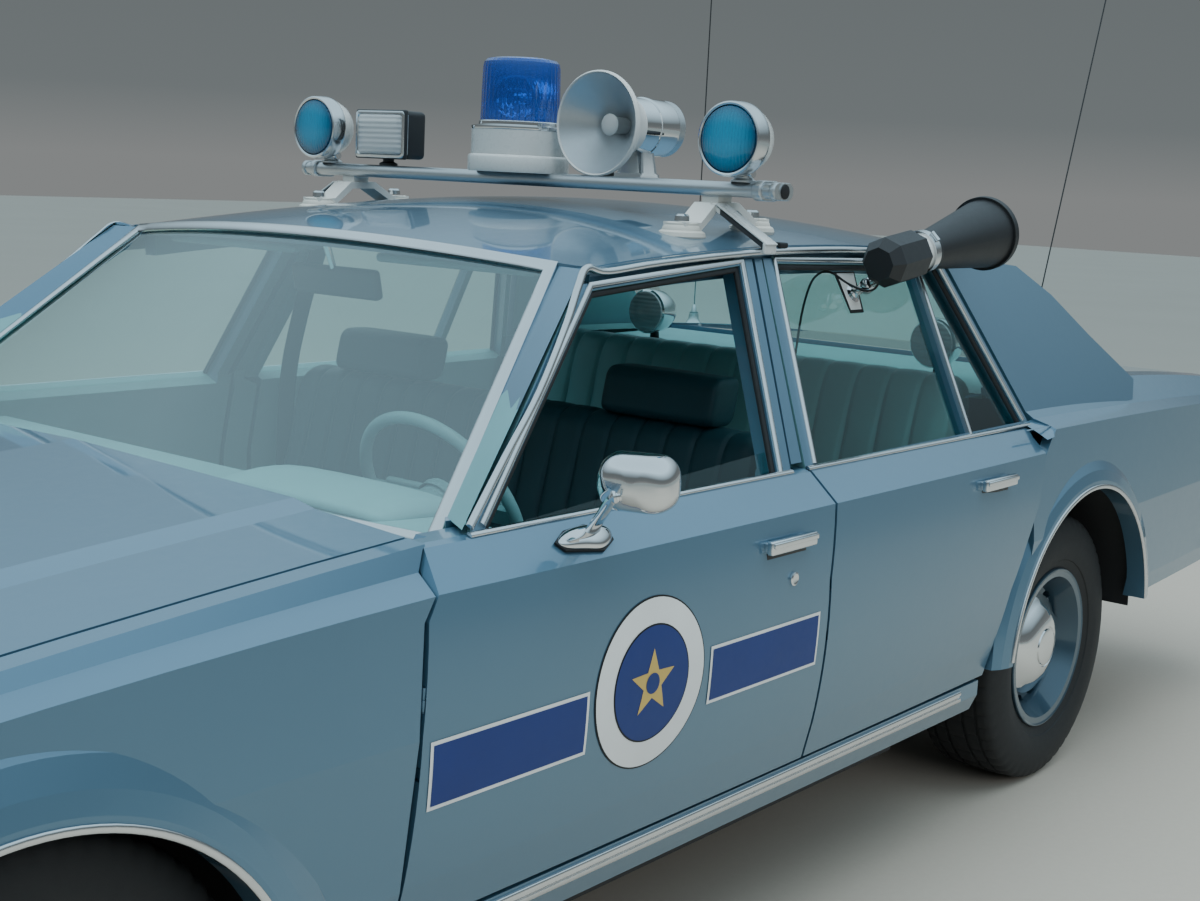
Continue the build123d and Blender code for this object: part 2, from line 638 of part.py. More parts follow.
def bowed_sheet(arcs, thickness):
    """A sheet curved in plan, from an outer arc at its base and another at its top."""
    (base_x, base_z), (top_x, top_z) = arcs["base"][:2], arcs["top"][:2]
    slope = Vector(top_x - base_x, 0, top_z - base_z).normalized()
    face_dir = Vector(slope.Z, 0, -slope.X)
    ends = []
    for mid_x, mid_z, end_x, half, end_z in arcs.values():
        way = Vector(mid_x - end_x, 0, mid_z - end_z).normalized()
        step = way * (thickness / way.dot(face_dir))
        mid, end = Vector(mid_x, 0, mid_z), Vector(end_x, 0, end_z)
        inner_mid, inner_end = mid - step, end - step

        def at(v, y):
            return (v.X, y, v.Z)

        ends.append(make_face([
            ThreePointArc(at(end, -half), at(mid, 0), at(end, half)),
            Line(at(end, half), at(inner_end, half)),
            ThreePointArc(at(inner_end, half), at(inner_mid, 0), at(inner_end, -half)),
            Line(at(inner_end, -half), at(end, -half)),
        ]))
    return loft(ends, ruled=True)


windshield = bowed_sheet(shield_arcs, shield_thickness)
windshield = windshield - roof_panel - parts["cowl_panel"] - parts["windshield_pillars"]
windshield = max(windshield.solids(), key=lambda s: s.volume)
rear_window = bowed_sheet(back_arcs, shield_thickness)
rear_window = rear_window - roof_panel - parts["quarter_panels"] - deck_filler
rear_window = max(rear_window.solids(), key=lambda s: s.volume)
parts["body_glass"] = Compound(children=[windshield, rear_window])

# Floor: a stepped plate with the tunnel, narrow between the rear wheels
floor_line = [(firewall_x, floor_z), (-700, floor_z), (-770, kick_floor_z), (-1690, kick_floor_z), (-1760, trunk_floor_z), (-2590, trunk_floor_z)]
floor_back = [(x, z - floor_thickness) for x, z in reversed(floor_line)]
floor_pan = side_prism(floor_line + floor_back, -floor_half_width, floor_half_width)
housing_inner_y = 556
for s in (1, -1):
    floor_pan = floor_pan - block(-2000, -820, s * housing_inner_y, s * 900, 200, 900)
    floor_pan = floor_pan - block(-820, -770, s * housing_inner_y, s * 900, 400, 900)
tunnel_slot = block(-780, firewall_x, -tunnel_half_width, tunnel_half_width, 250, tunnel_top_z - 60)
tunnel = block(-760, firewall_x, -tunnel_half_width - 6, tunnel_half_width + 6, floor_z - floor_thickness, tunnel_top_z)
tunnel = tunnel - block(-790, firewall_x + 10, -tunnel_half_width, tunnel_half_width, 200, tunnel_top_z - 6)
floor_pan = (floor_pan - tunnel_slot) + tunnel
for s in (1, -1):
    floor_pan = floor_pan - block(-2600, -2519, s * 505 - 33, s * 505 + 33, 400, 500)
parts["floor_pan"] = floor_pan

# Frame: two rails with a kick over the rear axle, joined by cross members
rail_side = [
    (2470, 400), (1300, 400), (1080, 310), (-720, 310), (-860, 518), (-1690, 518), (-1760, 434), (-2560, 434),
    (-2560, 350), (-1830, 350), (-1640, 440), (-900, 440), (-780, 215), (1060, 215), (1290, 300), (2470, 300),
]
rail_plan = [
    (2470, 375), (2470, 455), (1225, 455), (1000, floor_half_width - 10), (-620, floor_half_width - 10), (-820, 545), (-2560, 545),
    (-2560, 465), (-860, 465), (-660, floor_half_width - 90), (1040, floor_half_width - 90), (1200, 375),
]
rail = side_prism(rail_side, 300, 850) & plan_prism(rail_plan, 100, 700)
frame = rail + right_of(rail)
# columns: x0, x1, half width, z0, z1
cross_members = [(1600, 1730, 380, 300, 350), (240, 330, 715, 205, 230), (-1660, -1580, 470, 440, 510), (-2520, -2450, 470, 350, 430)]
for x0, x1, half, z0, z1 in cross_members:
    frame = frame + block(x0, x1, -half, half, z0, z1)
for s in (1, -1):
    frame = frame + block(2460, nose_x - 84, s * 415 - 32, s * 415 + 32, 470, 540) + block(2430, 2470, s * 415 - 32, s * 415 + 32, 395, 540)
    frame = frame + block(tail_x + 66, -2548, s * 505 - 32, s * 505 + 32, 460, 540) + block(-2560, -2520, s * 505 - 32, s * 505 + 32, 425, 540)
parts["chassis_frame"] = frame


# Wheel housings: half drums around each wheel with their inner walls
def housing(arch_x, arch_z, radius, y0, y1):
    drum = disc_y(arch_x, arch_z, radius + housing_wall, y0, y1) - disc_y(arch_x, arch_z, radius, y0 + housing_wall, y1 + 10)
    return drum & block(arch_x - 800, arch_x + 800, 0, 1200, arch_z + 20, arch_z + 900)


front_housing = housing(1690, 320, housing_radius_front, 455, 930)
front_housing = front_housing - block(1550, 1776, 440, 470, 300, 510) - fender
front_housing = max(front_housing.solids(), key=lambda s: s.volume)
rear_housing = housing(rear_arch["x"], rear_arch["z"], housing_radius_rear, housing_inner_y, 905)
rear_housing = rear_housing - parts["quarter_panels"]
rear_housing = max(rear_housing.solids(), key=lambda s: s.volume)
parts["wheel_housings"] = Compound(children=[
    front_housing.solid(), right_of(front_housing).solid(), rear_housing.solid(), right_of(rear_housing).solid(),
])

# Package shelf and bulkhead behind the rear seat, with two round lamps
shelf = side_prism([(rear_bulkhead_x, shelf_z - 12), (rear_bulkhead_x, shelf_z), (-1700, shelf_z + 10), (-1700, shelf_z - 2)], -housing_inner_y - 150, housing_inner_y + 150)
bulkhead = block(rear_bulkhead_x - 10, rear_bulkhead_x, -housing_inner_y + 6, housing_inner_y - 6, kick_floor_z, shelf_z - 6)
shelf = shelf + deck_filler + bulkhead
shelf = shelf - parts["quarter_panels"] - parts["body_glass"]
parts["package_shelf"] = max(shelf.solids(), key=lambda s: s.volume)

# Rear axle with differential, brake plates and leaf of the upper links
axle = rod((rear_axle_x, -640, tyre_radius), (rear_axle_x, 640, tyre_radius), 42)
axle = axle + rod((rear_axle_x, -75, tyre_radius), (rear_axle_x, 75, tyre_radius), 128)
axle = axle + rod((rear_axle_x, 0, tyre_radius), (rear_axle_x + 190, 0, tyre_radius - 4), 55)
hub_w = -14
for s in (1, -1):
    axle = axle + rod((rear_axle_x, s * 630, tyre_radius), (rear_axle_x, s * (rear_wheel_y - 62), tyre_radius), 120)
    axle = axle + rod((rear_axle_x, s * 630, tyre_radius), (rear_axle_x, s * (rear_wheel_y - 5), tyre_radius), hub_bore - spindle_clearance)
    axle = axle + rod((rear_axle_x + 20, s * 430, tyre_radius + 30), (rear_axle_x + 20, s * 430, 439.7), 48)
parts["rear_axle"] = axle

# Front suspension: lower and upper arms and springs, carried by the frame
arms = []
steer_y = front_wheel_y - steer_axis_inset
for s in (1, -1):
    lower = plan_prism([(1510, 380), (1636, 640), (1648, 712), (1678, 712), (1690, 640), (1816, 380), (1766, 380), (1663, 590), (1560, 380)], 236, 262)
    upper = plan_prism([(1570, 400), (1638, 640), (1650, 712), (1676, 712), (1688, 640), (1756, 400), (1712, 400), (1663, 600), (1614, 400)], 470, 486)
    spring = block(1600, 1726, 385, 470, 262, 270)
    tower = block(1570, 1756, 385, 455, 400, 470)
    foot = block(1520, 1806, 380, 430, 262, 300)
    set_ = lower + spring + foot
    arms += [set_, upper + tower]
parts["front_suspension"] = Compound(children=[s for a in (arms[0], arms[1]) for s in [*a.solids(), *right_of(a).solids()]])


# Knuckles: upright between the ball joints, with spindle and brake plate
def knuckle():
    wy = front_wheel_y
    up = block(1640, 1686, steer_y - 20, steer_y + 4, 262.3, 469.7)
    plate = rod((front_axle_x, steer_y - 4, tyre_radius), (front_axle_x, wy - 62, tyre_radius), 80)
    shaft = rod((front_axle_x, steer_y, tyre_radius), (front_axle_x, wy - 5, tyre_radius), hub_bore - spindle_clearance)
    arm = block(1510, 1650, steer_y - 20, steer_y, 300, 322)
    return up + plate + shaft + arm


parts["knuckle_left"] = knuckle()
parts["knuckle_right"] = right_of(parts["knuckle_left"])

# Rim section (across, radius): barrel, bead seats, nave, hub and domed cap
rim_rows = [
    (-95, rim_lip_radius), (-88, rim_lip_radius), (-88, bead_radius - 1), (-62, bead_radius - 1), (-40, 172), (40, 172),
    (62, bead_radius - 1), (88, bead_radius - 1), (88, rim_lip_radius), (97, rim_lip_radius), (94, bead_radius - 6),
    (46, 162), (30, 156), (22, 140), (44, 118), (44, 96), (70, 80), (80, 45), (82, 0), (0, 0), (0, hub_bore),
    (-55, hub_bore), (-55, 138), (-46, 142), (-4, 142), (4, 156), (-38, 163), (-60, 181), (-92, bead_radius - 5),
]


slot_count = 16
slot_radius = 152


def rim_solid(centre_y, axle_x):
    face = polygon([(axle_x + r, centre_y + w, tyre_radius) for w, r in rim_rows])
    rim = revolve(face, axis=Axis((axle_x, 0, tyre_radius), (0, 1, 0)), revolution_arc=360)
    seat = Plane(origin=(axle_x, centre_y - 30, tyre_radius), x_dir=(1, 0, 0), z_dir=(0, 1, 0))
    slot = extrude(SlotOverall(30, 13, rotation=90), amount=100)
    return rim - [seat * place * slot for place in PolarLocations(slot_radius, slot_count)]


def tyre_solid(centre_y, axle_x):
    def at(w, r):
        return (axle_x + r, centre_y + w, tyre_radius)

    t = tyre_half_width
    edges = [
        Line(at(-87.7, bead_radius - 0.7), at(87.7, bead_radius - 0.7)),
        Line(at(87.7, bead_radius - 0.7), at(87.7, 206)),
        ThreePointArc(at(87.7, 206), at(t, 268), at(97, 330)),
        ThreePointArc(at(97, 330), at(90, 340), at(80, 343)),
        ThreePointArc(at(80, 343), at(0, tyre_radius), at(-80, 343)),
        ThreePointArc(at(-80, 343), at(-90, 340), at(-97, 330)),
        ThreePointArc(at(-97, 330), at(-t, 268), at(-87.7, 206)),
        Line(at(-87.7, 206), at(-87.7, bead_radius - 0.7)),
    ]
    return revolve(make_face(edges), axis=Axis((axle_x, 0, tyre_radius), (0, 1, 0)), revolution_arc=360)


wheel_places = [("front", front_axle_x, front_wheel_y), ("rear", rear_axle_x, rear_wheel_y)]
for name, axle_x, wheel_y in wheel_places:
    rim = rim_solid(wheel_y, axle_x)
    tyre = tyre_solid(wheel_y, axle_x)
    parts[f"rim_{name}_left"] = rim
    parts[f"rim_{name}_right"] = right_of(rim)
    parts[f"tyre_{name}_left"] = tyre
    parts[f"tyre_{name}_right"] = right_of(tyre)

# Engine with gearbox and propeller shaft
engine = block(1150, 1880, -270, 270, 410, 700) + block(1220, 1820, -200, 200, 360, 420) + block(1250, 1750, -120, 120, 700, 790)
gearbox = rod((1160, 0, 362), (560, 0, 355), 92)
shaft = rod((560, 0, 355), (rear_axle_x + 191.5, 0, tyre_radius - 4), 36)
parts["powertrain"] = engine + gearbox + shaft

# Exhaust under the floor, fuel tank behind the axle
pipe_radius = 26
pipe_start = (1240, -270 - pipe_radius - 0.3, 440)
pipe_path = FilletPolyline(pipe_start, (1240, pipe_start[1], 262), (-200, pipe_start[1], 262), radius=90)
pipe = sweep(Plane(origin=pipe_start, z_dir=(0, 0, -1)) * Circle(pipe_radius), path=pipe_path)
muffler = rounded_block(-690, -140, -420, -200, 205, floor_z - floor_thickness - 0.3, 40)
tail_start = (-670, -330, 262)
tail_path = FilletPolyline(tail_start, (-960, -330, 300), (rear_axle_x, -330, 456), (-1640, -430, 340), (-2600, -430, 300), radius=120)
tail_pipe = sweep(Plane(origin=tail_start, z_dir=(-290, 0, 38)) * Circle(24), path=tail_path)
parts["exhaust"] = pipe + muffler + tail_pipe
parts["fuel_tank"] = rounded_block(-2420, -1880, -400, 400, 250, trunk_floor_z - floor_thickness - 0.3, 24)

# Seats: one bench in front with two headrests, one behind
front_seat_side = [
    (420, 340), (440, 500), (405, 548), (20, 520), (-10, 560), (-118, 1005), (-150, 1028), (-205, 1020), (-215, 980), (-180, 560), (-170, 340),
]
front_seat = side_prism(front_seat_side, -710, 710)
front_seat = front_seat - block(-300, 500, -tunnel_half_width - 10, tunnel_half_width + 10, 300, tunnel_top_z + 4)
for y in (500, -500):
    front_seat = front_seat + block(-120, 340, y - 25, y + 25, floor_z + 0.3, 345)
for y in (430, -430):
    front_seat = front_seat + rounded_block(-225, -135, y - 130, y + 130, 1040, 1165, 24) + block(-190, -170, y - 50, y + 50, 1010, 1060)
rear_seat_side = [(-420, 340), (-400, 500), (-440, 545), (-820, 530), (-860, 570), (-985, 1030), (-1020, 1052), (-1075, 1040), (rear_bulkhead_x + 3, 990), (rear_bulkhead_x + 3, kick_floor_z + 0.3), (-768, kick_floor_z + 0.3), (-698, floor_z + 0.3), (-600, floor_z + 0.3), (-440, 340)]
rear_seat = side_prism(rear_seat_side, -700, 700)
rear_seat = rear_seat - block(-770, -300, -tunnel_half_width - 10, tunnel_half_width + 10, 300, tunnel_top_z + 4)
for s in (1, -1):
    rear_seat = rear_seat - (disc_y(rear_arch["x"], rear_arch["z"], housing_radius_rear + housing_wall + 4, s * 545, s * 800))
parts["front_seat"] = front_seat
parts["rear_seat"] = rear_seat

# Dashboard with column, and the steering wheel
dash_side = [(firewall_x, 640), (firewall_x, 872), (930, 905), (880, 912), (672, 900), (628, 855), (640, 720), (700, 640)]
dashboard = side_prism(dash_side, -764, 764)
wheel_centre = Vector(450, 370, 862)
column_dir = Vector(-0.883, 0, 0.469)
column_top = wheel_centre - column_dir * 19
column_foot = wheel_centre - column_dir * 330
dashboard = dashboard + rod(tuple(column_foot), tuple(column_top), 32)
parts["dashboard"] = dashboard - parts["cowl_panel"]
wheel_plane = Plane(origin=tuple(wheel_centre), x_dir=(0, 1, 0), z_dir=tuple(column_dir))
steering = Torus(190, 12) + Box(370, 34, 14) + Pos(0, 0, -8) * Cylinder(44, 20)
parts["steering_wheel"] = wheel_plane * steering

# Roof bar: a flat oval tube on two arched brackets with suction feet and straps
bar_slot = SlotOverall(bar_width, bar_height)
bar_plane = Plane(origin=(bar_x, -bar_half_length, bar_z), x_dir=(1, 0, 0), z_dir=(0, 1, 0))
bar = extrude(bar_plane * bar_slot, amount=2 * bar_half_length)
bracket_side = [(-8, 1404), (-60, 1404), (-110, 1444), (-190, 1446), (-250, 1414), (-306, 1414), (-306, 1400), (-245, 1400), (-186, 1430), (-116, 1428), (-62, 1388), (-8, 1388)]
light_bar = bar
for s in (1, -1):
    y = 545 * s
    arch = side_prism(bracket_side, y - 28, y + 28)
    post = block(bar_x - 24, bar_x + 24, y - 20, y + 20, 1440, bar_z)
    light_bar = light_bar + arch + post
    for foot_x, foot_top in ((-33, 1392), (-281, 1406)):
        light_bar = light_bar + Pos(foot_x, y, 1350 + (foot_top - 1350) / 2) * Cone(46, 30, foot_top - 1350)
    strap = cross_prism([(s * 560, 1446), (s * 700, 1366), (s * 702, 1358), (s * 692, 1357), (s * 690, 1362), (s * 560, 1436)], -140, -106)
    light_bar = light_bar + strap
    light_bar = light_bar + rod((bar_x, s * (bar_half_length - 3), bar_z), (bar_x, s * (bar_half_length + 5), bar_z), 17)
light_bar = light_bar - roof_panel
parts["light_bar"] = max(light_bar.solids(), key=lambda s: s.volume)

beacon_z0 = bar_z + bar_height / 2
base = Pos(beacon_x, 0, beacon_z0) * Cylinder(beacon_base_radius, beacon_base_height, align=(Align.CENTER, Align.CENTER, Align.MIN))
parts["beacon_base"] = fillet(base.edges().group_by(Axis.Z)[-1], 8)
dome_z0 = beacon_z0 + beacon_base_height
dome = Pos(beacon_x, 0, dome_z0) * Cone(beacon_dome_radius, beacon_dome_radius - 5, beacon_top_z - dome_z0, align=(Align.CENTER, Align.CENTER, Align.MIN))
parts["beacon_dome"] = fillet(dome.edges().group_by(Axis.Z)[-1], 16)

# Siren horn: hollow bell with a bullet inside, driver drum and tapered foot
# columns: distance behind the mouth, radius
bell_outer = [(0, 110), (12, 110), (60, 78), (110, 58), (130, 56)]
bell_inner = [(118, 50), (106, 53), (56, 73), (10, 104), (0, 106)]


def horn_point(back, radius):
    return (siren_mouth_x - back, siren_y + radius, siren_z)


horn_axis = Axis((0, siren_y, siren_z), (1, 0, 0))
bell = revolve(polygon([horn_point(*p) for p in bell_outer + bell_inner + [(118, 0), (130, 0)]]), axis=horn_axis, revolution_arc=360)
bullet = rod((siren_mouth_x - 120, siren_y, siren_z), (siren_mouth_x - 48, siren_y, siren_z), 17)
drum = rod((siren_mouth_x - 240, siren_y, siren_z), (siren_mouth_x - 84, siren_y, siren_z), 62)
drum = drum - rod((siren_mouth_x - 119, siren_y, siren_z), (siren_mouth_x - 60, siren_y, siren_z), 59)
foot = extrude(Plane(origin=(-275, siren_y, beacon_z0), z_dir=(0, 0, 1)) * Rectangle(60, 70), amount=70, taper=8)
pad = block(bar_x - 160, bar_x, siren_y - 35, siren_y + 35, beacon_z0, beacon_z0 + 8)
parts["siren_horn"] = bell + bullet + drum + foot + pad

# Roof lamps: two round side lamps and a rectangular work lamp
lamp_rows = [(38, 0), (38, 66), (44, 68), (44, lamp_radius), (8, lamp_radius), (-30, 58), (-52, 34), (-58, 0)]
lamps = []
lenses = []
for s in (1, -1):
    face = polygon([(-120 + w, s * lamp_y, lamp_z + r) for w, r in lamp_rows])
    shell = revolve(face, axis=Axis((0, s * lamp_y, lamp_z), (1, 0, 0)), revolution_arc=360)
    neck = rod((bar_x + 14, s * lamp_y, beacon_z0), (bar_x + 14, s * lamp_y, lamp_z - 40), 17)
    lamps.append((shell + neck).solid())
    lens = rod((-81.7, s * lamp_y, lamp_z), (-74, s * lamp_y, lamp_z), 65)
    lenses.append(lens.solid())
work = rounded_block(-192, -124, work_lamp_y - 83, work_lamp_y + 83, work_lamp_z - 55, work_lamp_z + 55, 12)
work = work + rod((bar_x, work_lamp_y, beacon_z0), (bar_x, work_lamp_y, work_lamp_z - 50), 12)
lamps.append(work.solid())
parts["roof_lamps"] = Compound(children=lamps)
parts["lamp_lenses"] = Compound(children=lenses)

# Door mirror and handles
mirror_plane = Plane(origin=(680, 1010, 1022), x_dir=(-0.37, 0.93, 0), z_dir=(0.93, 0.37, 0))
mirror_rear = mirror_plane * Pos(0, 0, -26) * RectangleRounded(128, 91, 24)
mirror_middle = mirror_plane * RectangleRounded(126, 89, 24)
mirror_front = mirror_plane * Pos(0, 0, 22) * RectangleRounded(98, 62, 18)
mirror_head = loft([mirror_rear, mirror_middle], ruled=True) + loft([mirror_middle, mirror_front], ruled=True)
mirror_head = mirror_head - mirror_plane * Pos(0, 0, -27) * extrude(RectangleRounded(122, 85, 21), amount=6)
swivel = rod((690, 1022, 1013), (718, 996, 1004), 11)
mirror_arm = loft([
    Plane(origin=(668, 914, 914), z_dir=(0.1, 0.7, 0.8)) * Ellipse(24, 13), Plane(origin=(686, 940, 946), z_dir=(0.2, 0.7, 0.7)) * Ellipse(10, 8),
    Plane(origin=(714, 992, 1001), z_dir=(0.3, 0.65, 0.7)) * Ellipse(8, 6),
])
foot_plan = [(752, 914), (744, 926), (664, 937), (630, 925), (624, 908), (668, 899), (720, 902)]
mirror_foot = cross_prism([(872, 946), (886, 956), (956, 903), (940, 888)], 600, 780) & plan_prism(foot_plan, 880, 970)
parts["mirror_left"] = mirror_arm + swivel + mirror_head + mirror_foot - front_door

# Radar antenna on the rear left window
tail = Vector(-400, 790, 1332)
mouth = Vector(-890, 790, 1400)
way = (mouth - tail).normalized()
gun_plane = Plane(origin=tuple(tail), x_dir=(0, 1, 0), z_dir=tuple(way))
gun = gun_plane * (
    loft([RegularPolygon(36, 8), Pos(0, 0, 26) * RegularPolygon(54, 8)], ruled=True)
    + Pos(0, 0, 26) * extrude(RegularPolygon(54, 8), amount=112)
    + Pos(0, 0, 130) * Cylinder(42, 80, align=(Align.CENTER, Align.CENTER, Align.MIN))
    + Pos(0, 0, 168) * Cylinder(47, 18, align=(Align.CENTER, Align.CENTER, Align.MIN))
    + Pos(0, 0, 196) * Cone(40, 80, 288, align=(Align.CENTER, Align.CENTER, Align.MIN))
    + Pos(0, 0, 472) * Cylinder(84, 14, align=(Align.CENTER, Align.CENTER, Align.MIN))
    - Pos(0, 0, 300) * Cone(50, 77, 187, align=(Align.CENTER, Align.CENTER, Align.MIN))
)
arm = rod((-450, 780, 1306), (-450, 690, 1254), 9) - wall_prism([(-300, 1400), (-600, 1400), (-600, 1100), (-300, 1100)], depth=200, lift=glass_lift + 3)
plate = wall_prism([(-415, 1312), (-485, 1312), (-470, 1236), (-425, 1236)], depth=4, lift=glass_lift + 4.3)
parts["radar_antenna"] = gun + arm + plate

# Radar cord: over the lowered glass and down behind the door's front upright
cord_radius = 2.5
cord_bend = 9
cord_route = [
    (-440, 772, 1293), (-438, 766, 1268), (-418, 716, 1280), (-400, 670, 1314), (-378, 648, 1297), (-345, 654, 1262), (-306, 668, 1215),
    (-245, 700, 1150), (-170, 738, 1080), (-130, 786, 1000), (-126, 826, 945),
]
cord_path = FilletPolyline(*cord_route, radius=cord_bend)
cord_seat = Plane(origin=cord_route[0], z_dir=tuple(cord_path % 0))
radar_cord = sweep(cord_seat * Circle(cord_radius), path=cord_path) - parts["radar_antenna"] - rear_door
parts["radar_cord"] = max(radar_cord.solids(), key=lambda s: s.volume)

# Whip antennas: base, spring ferrule and mast
whip_length = 1300
for name, x, y, z, lean in (("right", -1927, -778, 1000, 0), ("rear", -1980, 420, deck_line(-1980) - 6, 17)):
    top = (x - whip_length * sin(radians(lean)), y, z + whip_length * cos(radians(lean)))
    base = Pos(x, y, z) * Cylinder(15, 44, align=(Align.CENTER, Align.CENTER, Align.MIN))
    whip = base + rod((x, y, z + 30), top, 2)
    parts[f"whip_antenna_{name}"] = whip - parts["quarter_panels"] - parts["trunk_lid"]

for name, shape in parts.items():
    export_step(shape, f"parts/{name}.step")
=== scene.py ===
import bpy, bmesh
from math import sin, cos, pi, radians, sqrt
from mathutils import Vector, Matrix


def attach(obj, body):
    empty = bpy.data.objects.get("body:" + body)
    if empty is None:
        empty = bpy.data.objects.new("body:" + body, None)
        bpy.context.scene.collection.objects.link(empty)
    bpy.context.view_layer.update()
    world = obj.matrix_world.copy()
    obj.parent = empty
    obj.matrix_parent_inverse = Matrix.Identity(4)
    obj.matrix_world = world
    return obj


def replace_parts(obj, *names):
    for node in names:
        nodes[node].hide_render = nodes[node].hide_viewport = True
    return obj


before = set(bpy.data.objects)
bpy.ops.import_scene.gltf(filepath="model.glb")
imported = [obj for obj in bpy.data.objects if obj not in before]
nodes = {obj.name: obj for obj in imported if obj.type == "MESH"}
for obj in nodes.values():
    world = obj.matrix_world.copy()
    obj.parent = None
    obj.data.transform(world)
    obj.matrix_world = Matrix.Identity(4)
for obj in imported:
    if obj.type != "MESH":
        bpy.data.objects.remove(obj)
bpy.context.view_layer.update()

print("frame loaded:", len(nodes), "solids")


# ---- shader values that add their own maths nodes
class Value:
    def __init__(self, finish, socket):
        self.finish, self.socket = finish, socket

    def __add__(self, other): return self.finish.maths("ADD", self, other)
    def __radd__(self, other): return self.finish.maths("ADD", other, self)
    def __sub__(self, other): return self.finish.maths("SUBTRACT", self, other)
    def __rsub__(self, other): return self.finish.maths("SUBTRACT", other, self)
    def __mul__(self, other): return self.finish.maths("MULTIPLY", self, other)
    def __rmul__(self, other): return self.finish.maths("MULTIPLY", other, self)
    def __truediv__(self, other): return self.finish.maths("DIVIDE", self, other)


class Finish:
    def __init__(self, name, **sockets):
        self.material = bpy.data.materials.new(name)
        self.material.use_nodes = True
        self.tree = self.material.node_tree
        self.shader = self.tree.nodes["Principled BSDF"]
        self.feed(**sockets)

    def plug(self, socket, value):
        if isinstance(value, Value):
            self.tree.links.new(value.socket, socket)
        elif socket.type == "RGBA" and len(value) == 3:
            socket.default_value = (*value, 1)
        else:
            socket.default_value = value

    def node(self, kind, settings=None, inputs=None, output=0):
        made = self.tree.nodes.new(kind)
        for key, value in (settings or {}).items():
            setattr(made, key, value)
        for key, value in (inputs or {}).items():
            self.plug(made.inputs[key], value)
        return Value(self, made.outputs[output])

    def feed(self, **sockets):
        for key, value in sockets.items():
            self.plug(self.shader.inputs[key.replace("_", " ")], value)
        return self

    def place(self, scale=(1, 1, 1)):
        where = self.node("ShaderNodeTexCoord", output="Object")
        return self.node("ShaderNodeMapping", {}, {"Vector": where, "Scale": scale})

    def maths(self, operation, *values):
        return self.node("ShaderNodeMath", {"operation": operation}, dict(enumerate(values)))

    def split(self, vector):
        return [self.node("ShaderNodeSeparateXYZ", {}, {0: vector}, k) for k in range(3)]

    def noise(self, scale, detail=3, rough=0.5, where=None):
        inputs = {"Vector": where or self.place(), "Scale": scale, "Detail": detail, "Roughness": rough}
        return self.node("ShaderNodeTexNoise", {}, inputs)

    def blend(self, factor, first, second):
        return self.node("ShaderNodeMix", {"data_type": "RGBA"}, {0: factor, 6: first, 7: second}, 2)

    def mottle(self, tone, scale=9, dark=0.82):
        return self.blend(self.noise(scale, 4), [c * dark for c in tone], tone)

    def bump(self, height, strength, distance=0.001):
        inputs = {"Height": height, "Strength": strength, "Distance": distance}
        return self.feed(Normal=self.node("ShaderNodeBump", {}, inputs))


# ---- finishes
colours = {
    "paint": (0.098, 0.208, 0.302), "paintShade": (0.082, 0.175, 0.255),
    # the wheel tones on the next line are the body paint and its flake tone at 0.42 of their brightness:
    # painted shade on the rims
    "wheel": (0.04116, 0.08736, 0.12684), "wheelShade": (0.03332, 0.07072, 0.10268),
    # the two vinyl tones on the next line are one teal vinyl: darkened as painted shade for the front seats,
    # lightened as painted light for the rear seat, shelf, linings and other trim
    "vinyl": (0.02, 0.062, 0.078), "paintedLitVinyl": (0.17, 0.36, 0.38), "dash": (0.24, 0.46, 0.48),
    "carpet": (0.035, 0.06, 0.075), "signBlue": (0.002, 0.024, 0.165), "signWhite": (0.8, 0.81, 0.8),
    "gold": (0.62, 0.42, 0.1), "strap": (0.03, 0.032, 0.035), "bracket": (0.6, 0.6, 0.57),
    # the last tone on the next line is painted shade at the rims of the roof lamp lenses
    "barTube": (0.62, 0.63, 0.64), "glassEdge": (0.86, 0.97, 0.98), "lensRimPaintedShade": (0.001, 0.05, 0.12),
}
paintLook = {"metallic": 0.55, "flake": 1400, "cloud": 2.2, "dust": 38, "ripple": 320, "rippleDepth": 0.018}
glassLook = {"haze": 3, "hazeDark": 0.96, "edgePower": 4, "roughness": 0.012}
# where the body panels wear the lining: above the belt, on the jambs and under the roof
linedRegion = {
    "inward": 0.3, "down": -0.55, "roofZ": 1.22, "jambY": 0.8148, "beltZ": 0.93, "cabinX": (-0.18, 0.88),
    "trunkX": -1.72, "roughness": 0.52,
}
barRegion = {"tubeZ": 1.4555, "strapY": 0.585, "strapX": (-0.123, 0.0185)}
# the middle and the reach of the painted highlight on the roof lamp lenses
paintedLensHighlight = {"y": 0.617, "z": 1.572, "radius": 0.066}


def paintFinish(name, tone, shade):
    f = Finish(name, Metallic=paintLook["metallic"], Coat_Weight=1, Coat_Roughness=0.03, Coat_IOR=1.5)
    flake = f.noise(paintLook["flake"], 2)
    cloud = f.noise(paintLook["cloud"])
    dust = f.noise(paintLook["dust"], 5, 0.65)
    f.feed(Base_Color=f.blend(flake * 0.55 + cloud * 0.45, shade, tone), Roughness=0.3 + dust * 0.1)
    return f.bump(f.noise(paintLook["ripple"], 2) + flake * 0.25, paintLook["rippleDepth"])


def metalFinish(name, tone, rough, wear, brushed=None):
    f = Finish(name, Metallic=1)
    grain = f.noise(160, 4, 0.6, f.place(brushed or (1, 1, 1)))
    smear = f.noise(14)
    f.feed(Base_Color=f.blend(smear, [c * 0.9 for c in tone], tone), Roughness=rough + grain * wear)
    return f.bump(grain, 0.1 if brushed else 0.03, 0.0004)


def plasticFinish(name, tone, rough, grainScale=900, depth=0.15, coat=0):
    f = Finish(name, Coat_Weight=coat, Coat_Roughness=0.08)
    f.feed(Base_Color=f.mottle(tone), Roughness=rough + f.noise(60, 4) * 0.12)
    return f.bump(f.noise(grainScale), depth, 0.0006)


